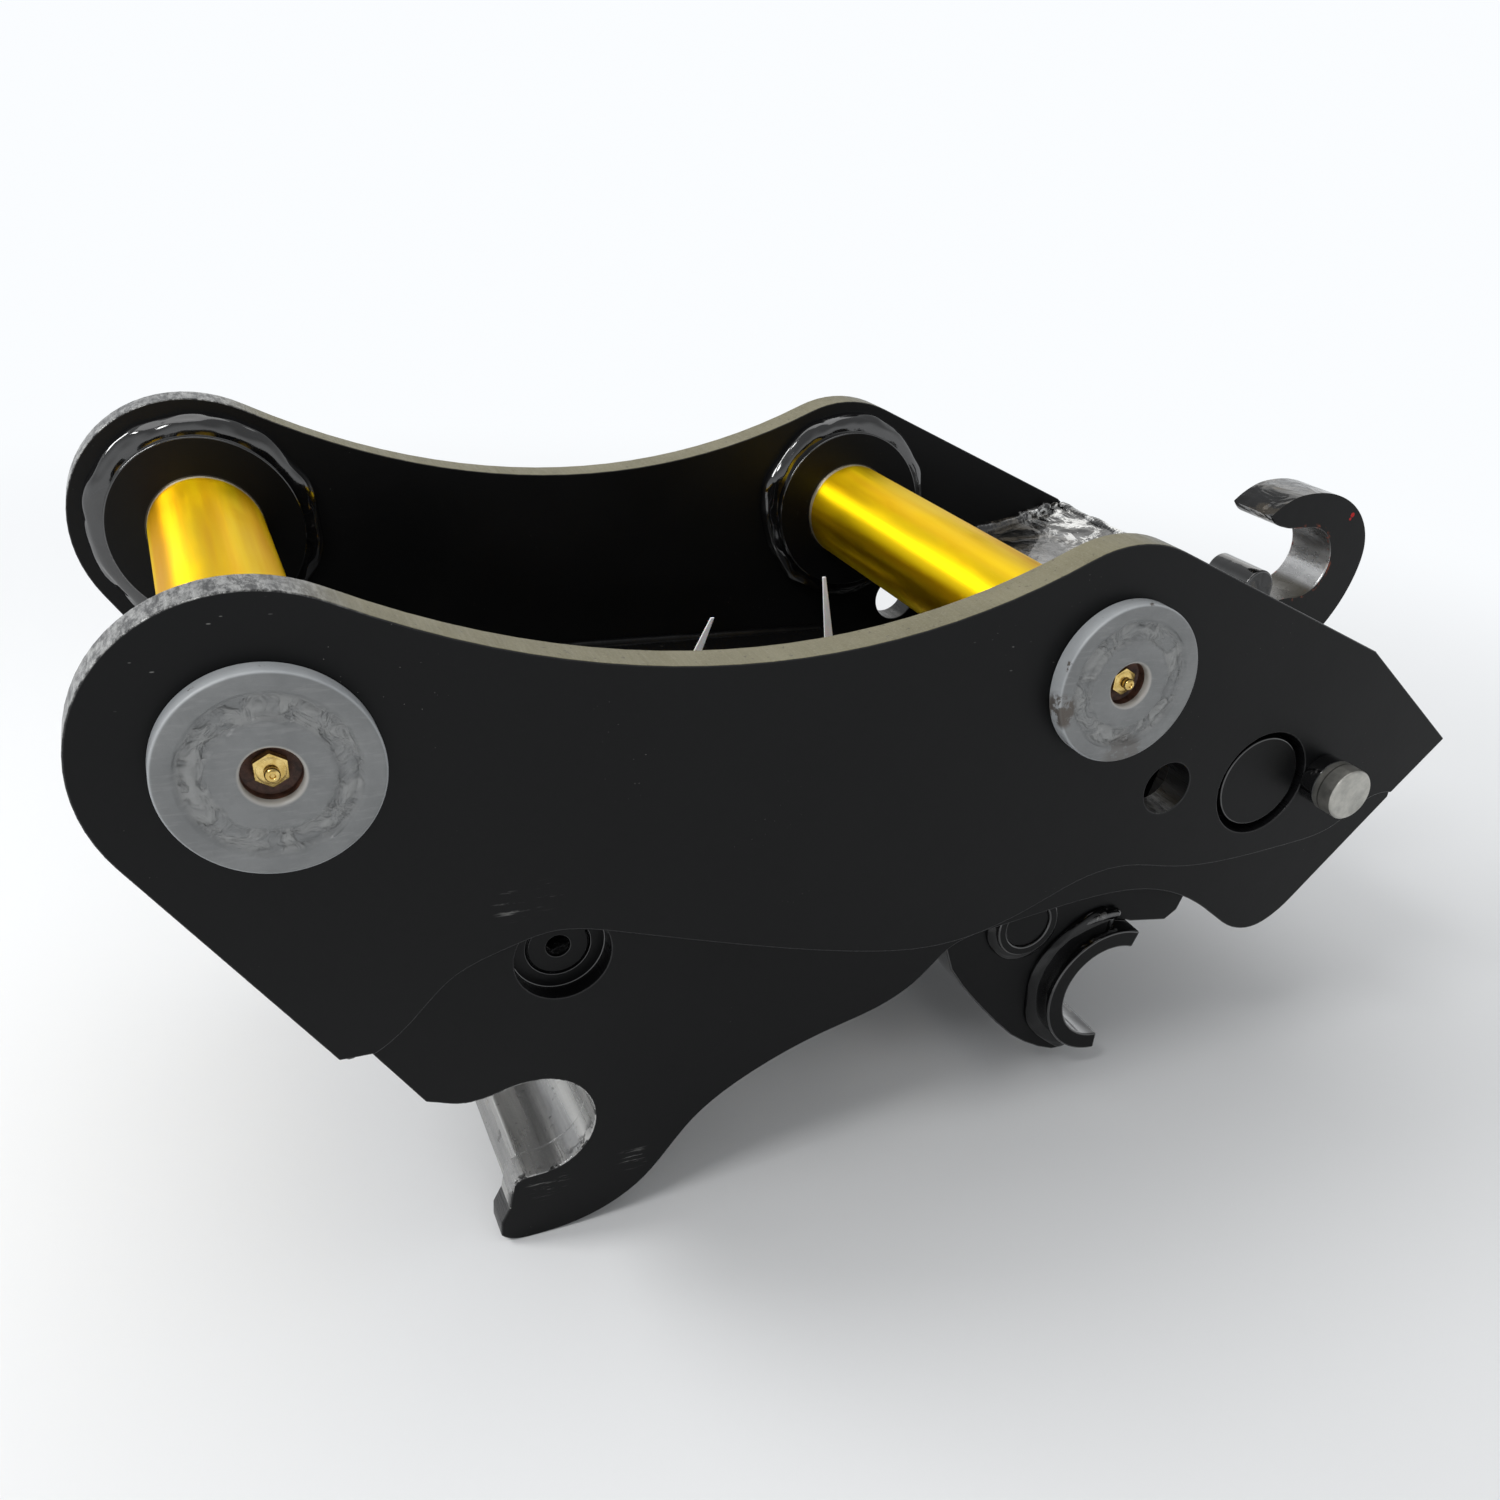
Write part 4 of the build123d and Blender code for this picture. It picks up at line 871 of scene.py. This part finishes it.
# ---- welds ----
def side_welds(sign, hand):
    """The welds and runs of paint of one side: sign is -1 on the left, 1 on the right."""
    for number, (station, x) in enumerate(zip(("stick", "link"), PIN_X)):
        fillet_ring(f"weld_{hand}_{station}_boss", x, 0.0, BOSS_R, sign * EAR_IN, -sign,
                    (13.0, 11.5), "frame", seed=number * 7.3 + sign)
    bead(f"weld_{hand}_deck", at_y(sign * 199, (-8, -113), (516, -115)), 4.5, "frame", SATIN,
         ripple=0.04, seed=sign * 4.0)
    bead(f"weld_{hand}_scoop",
         at_y(sign * 198, (634, -31), (660, -29.5), (690, -25.5), (715, -19), (735, -12.5),
              (752, -5)),
         6.5, "frame", SCOOP, wander=0.2, seed=sign * 5.0)
    bead(f"weld_{hand}_end", at_y(sign * 199, (762, -8.5), (861, -84)), 4.5, "frame",
         seed=sign * 6.0)
    bead(f"rounded_{hand}_bush_edge",
         circle(ANCHOR[0], sign * (ANCHOR_END - 0.5), ANCHOR[1], BUSH_EDGE_R), 0.9, "frame",
         GLOSS, closed=True, ripple=0.0, wander=0.0, step=2.5)
    lap = curved([(a, sign * (EAR_IN + 0.3), b - 0.2) for a, b in EAR_LOWER])
    bead(f"weld_{hand}_lap", lap, 2.6, "frame", SATIN, ripple=0.03, wander=0.1, seed=sign * 8.0)
    bead(f"weld_{hand}_front_corner",
         at_y(sign * 213, (14.5, -191.8), (21, -193.6), (26, -191.6), (32, -193), (38, -188)),
         4.2, "frame", SATIN, wander=0.3, reach=5.0, seed=sign * 3.3)
    bead(f"weld_{hand}_hook_foot",
         [*at_y(sign * 26, (846, -70), (866, -85.5)), *at_y(sign * 21, (884, -90.5))], 4.0,
         "frame", GLOSS, seed=sign * 9.0)
    fillet_ring(f"weld_{hand}_jaw_collar", *REAR_JAW, COLLAR_R, sign * ARM_OUT, sign,
                (10.5, 6.5), "moving_hook", SOFT_WELD, (84.0, 258.0), swell=0.5, seed=sign * 10.0)
    top = circle(REAR_JAW[0], sign * (ARM_OUT + 3.0), REAR_JAW[1], COLLAR_R + 9.0, 82.0, 122.0)
    bead(f"weld_{hand}_jaw_collar_top", top, 4.5, "moving_hook", BRIGHT_WELD,
         taper=(1.2, 0.8), wander=0.25, seed=sign * 10.4)
    fillet_ring(f"weld_{hand}_keeper", *ROD_PIN, 28.0, sign * ARM_OUT, sign, (7.5, 5.0),
                "moving_hook", SOFT_WELD, (165.0, 350.0), seed=sign * 10.7)
    bead(f"weld_{hand}_pivot_tube", circle(PIVOT[0], sign * 112.5, PIVOT[1], 42.0), 4.5,
         "moving_hook", closed=True, seed=sign * 11.0)
    for spot, ends in enumerate((((651, -250), (690, -138)), ((624, -258), (671, -140)))):
        bead(f"weld_{hand}_web_{spot}", at_y(sign * 113, *ends), 4.5, "moving_hook",
             seed=sign * 12.0 + spot)
    bead(f"weld_{hand}_back_web", at_y(sign * 113, (514, -307), (551, -350)), 4.0,
         "moving_hook", seed=sign * 14.0)
    bead(f"weld_{hand}_front_saddle",
         circle(FRONT_JAW[0], sign * 174, FRONT_JAW[1], 65.0, -62.0, 78.0), 4.8, "frame",
         ripple=0.04, seed=sign * 15.0)
    bead(f"weld_{hand}_front_plate", at_y(sign * 174, (31, -127), (92, -224)), 4.8, "frame",
         ripple=0.04, seed=sign * 16.0)
    bead(f"weld_{hand}_tip_block", at_y(sign * 30.5, (812, -44.5), (841, -66.5)), 3.4, "frame",
         GLOSS, seed=sign * 17.0)


for sign, hand in ((-1, "left"), (1, "right")):
    side_welds(sign, hand)
bead("weld_ridge", [Vector((758.5, -196, -5.5)), Vector((758.5, 196, -5.5))], 5.5, "frame",
     SCOOP, ripple=0.05, wander=0.25, seed=21.0)
bead("weld_saddle_top", [Vector((117, -172, -235)), Vector((117, 172, -235))], 5.0, "frame",
     ripple=0.04, seed=22.0)


# ---- stage, light and camera ----
def pale_floor():
    """Pale ground that fades, far out, to the same tone as the sky."""
    n = Nodes("pale_floor")
    n.set(Base_Color=(0.80, 0.805, 0.81), Roughness=0.9, Specular_IOR_Level=0.05)
    glow = n.tree.nodes.new("ShaderNodeEmission")
    glow.inputs["Color"].default_value = (*SKY, 1)
    glow.inputs["Strength"].default_value = SKY_STRENGTH
    blend = n.tree.nodes.new("ShaderNodeMixShader")
    spread = n.tree.nodes.new("ShaderNodeVectorMath")
    spread.operation = "LENGTH"
    n.link(n.place, spread.inputs[0])
    n.link(n.ramp(spread.outputs["Value"], *FLOOR_FADE), blend.inputs[0])
    n.link(n.shader.outputs[0], blend.inputs[1])
    n.link(glow.outputs[0], blend.inputs[2])
    n.link(blend.outputs[0], n.out.inputs[0])
    return n.material


bm = bmesh.new()
bmesh.ops.create_circle(bm, cap_ends=True, segments=96, radius=FLOOR_R)
mesh = bpy.data.meshes.new("studio_floor")
bm.to_mesh(mesh)
bm.free()
mesh.materials.append(pale_floor())
floor = bpy.data.objects.new("studio_floor", mesh)
floor.location = (CENTRE[0], 0, FLOOR_Z / 1000)
bpy.context.scene.collection.objects.link(floor)


def softbox(name, place, aim, size, power, colour=(1, 1, 1)):
    """An area light of size metres and power watts at place, turned to aim."""
    data = bpy.data.lights.new(name, "AREA")
    data.shape = "RECTANGLE"
    data.size, data.size_y = size
    data.energy = power
    data.color = colour
    lamp = bpy.data.objects.new(name, data)
    lamp.location = place
    lamp.rotation_euler = (Vector(aim) - Vector(place)).to_track_quat("-Z", "Y").to_euler()
    lamp.visible_camera = False
    bpy.context.scene.collection.objects.link(lamp)


softbox("sky_behind", (1.9, 3.0, 1.9), CENTRE, size=(3.2, 1.4), power=11.0,
        colour=(1.0, 0.985, 0.95))
softbox("overhead", (0.2, 0.3, 2.6), CENTRE, size=(2.6, 2.2), power=24.0)
softbox("front_left", (-1.4, -0.9, 2.2), CENTRE, size=(0.9, 0.5), power=24.0)
softbox("left_window", (-1.9, 0.7, 1.7), (0.3, 0.0, 0.0), size=(1.0, 0.8), power=36.0)

# the sky is brightest at the horizon and dims overhead, so wet paint shows light and dark
world = bpy.data.worlds.new("soft_world")
bpy.context.scene.world = world
world.use_nodes = True
tree = world.node_tree
ways = tree.nodes.new("ShaderNodeTexCoord")
split = tree.nodes.new("ShaderNodeSeparateXYZ")
fade = tree.nodes.new("ShaderNodeMapRange")
fade.interpolation_type = "SMOOTHSTEP"
for key, number in zip(("From Min", "From Max", "To Min", "To Max"),
                       (*SKY_FADE, SKY_STRENGTH, SKY_TOP_STRENGTH)):
    fade.inputs[key].default_value = number
tree.links.new(ways.outputs["Generated"], split.inputs[0])
tree.links.new(split.outputs["Z"], fade.inputs["Value"])
tree.links.new(fade.outputs[0], tree.nodes["Background"].inputs[1])
tree.nodes["Background"].inputs[0].default_value = (*SKY, 1)

lens = bpy.data.cameras.new("camera")
lens.sensor_width = SENSOR_MM
lens.lens = FOCAL_PX / FRAME_PX * SENSOR_MM
lens.shift_x = -(AXIS_PX[0] - FRAME_PX / 2) / FRAME_PX
lens.shift_y = (AXIS_PX[1] - FRAME_PX / 2) / FRAME_PX
lens.clip_start = 0.02
camera = bpy.data.objects.new("camera", lens)
right = Vector((0.89475, -0.43706, 0.09161))
up = Vector((0.15666, 0.49933, 0.85213))
away = Vector((0.41818, 0.74810, -0.51525))
turn = Matrix((right, up, -away)).transposed().to_4x4()
camera.matrix_world = Matrix.Translation(mm(*CAMERA_AT_MM)) @ turn
bpy.context.scene.collection.objects.link(camera)
bpy.context.scene.camera = camera
bpy.context.scene.view_settings.view_transform = "Standard"
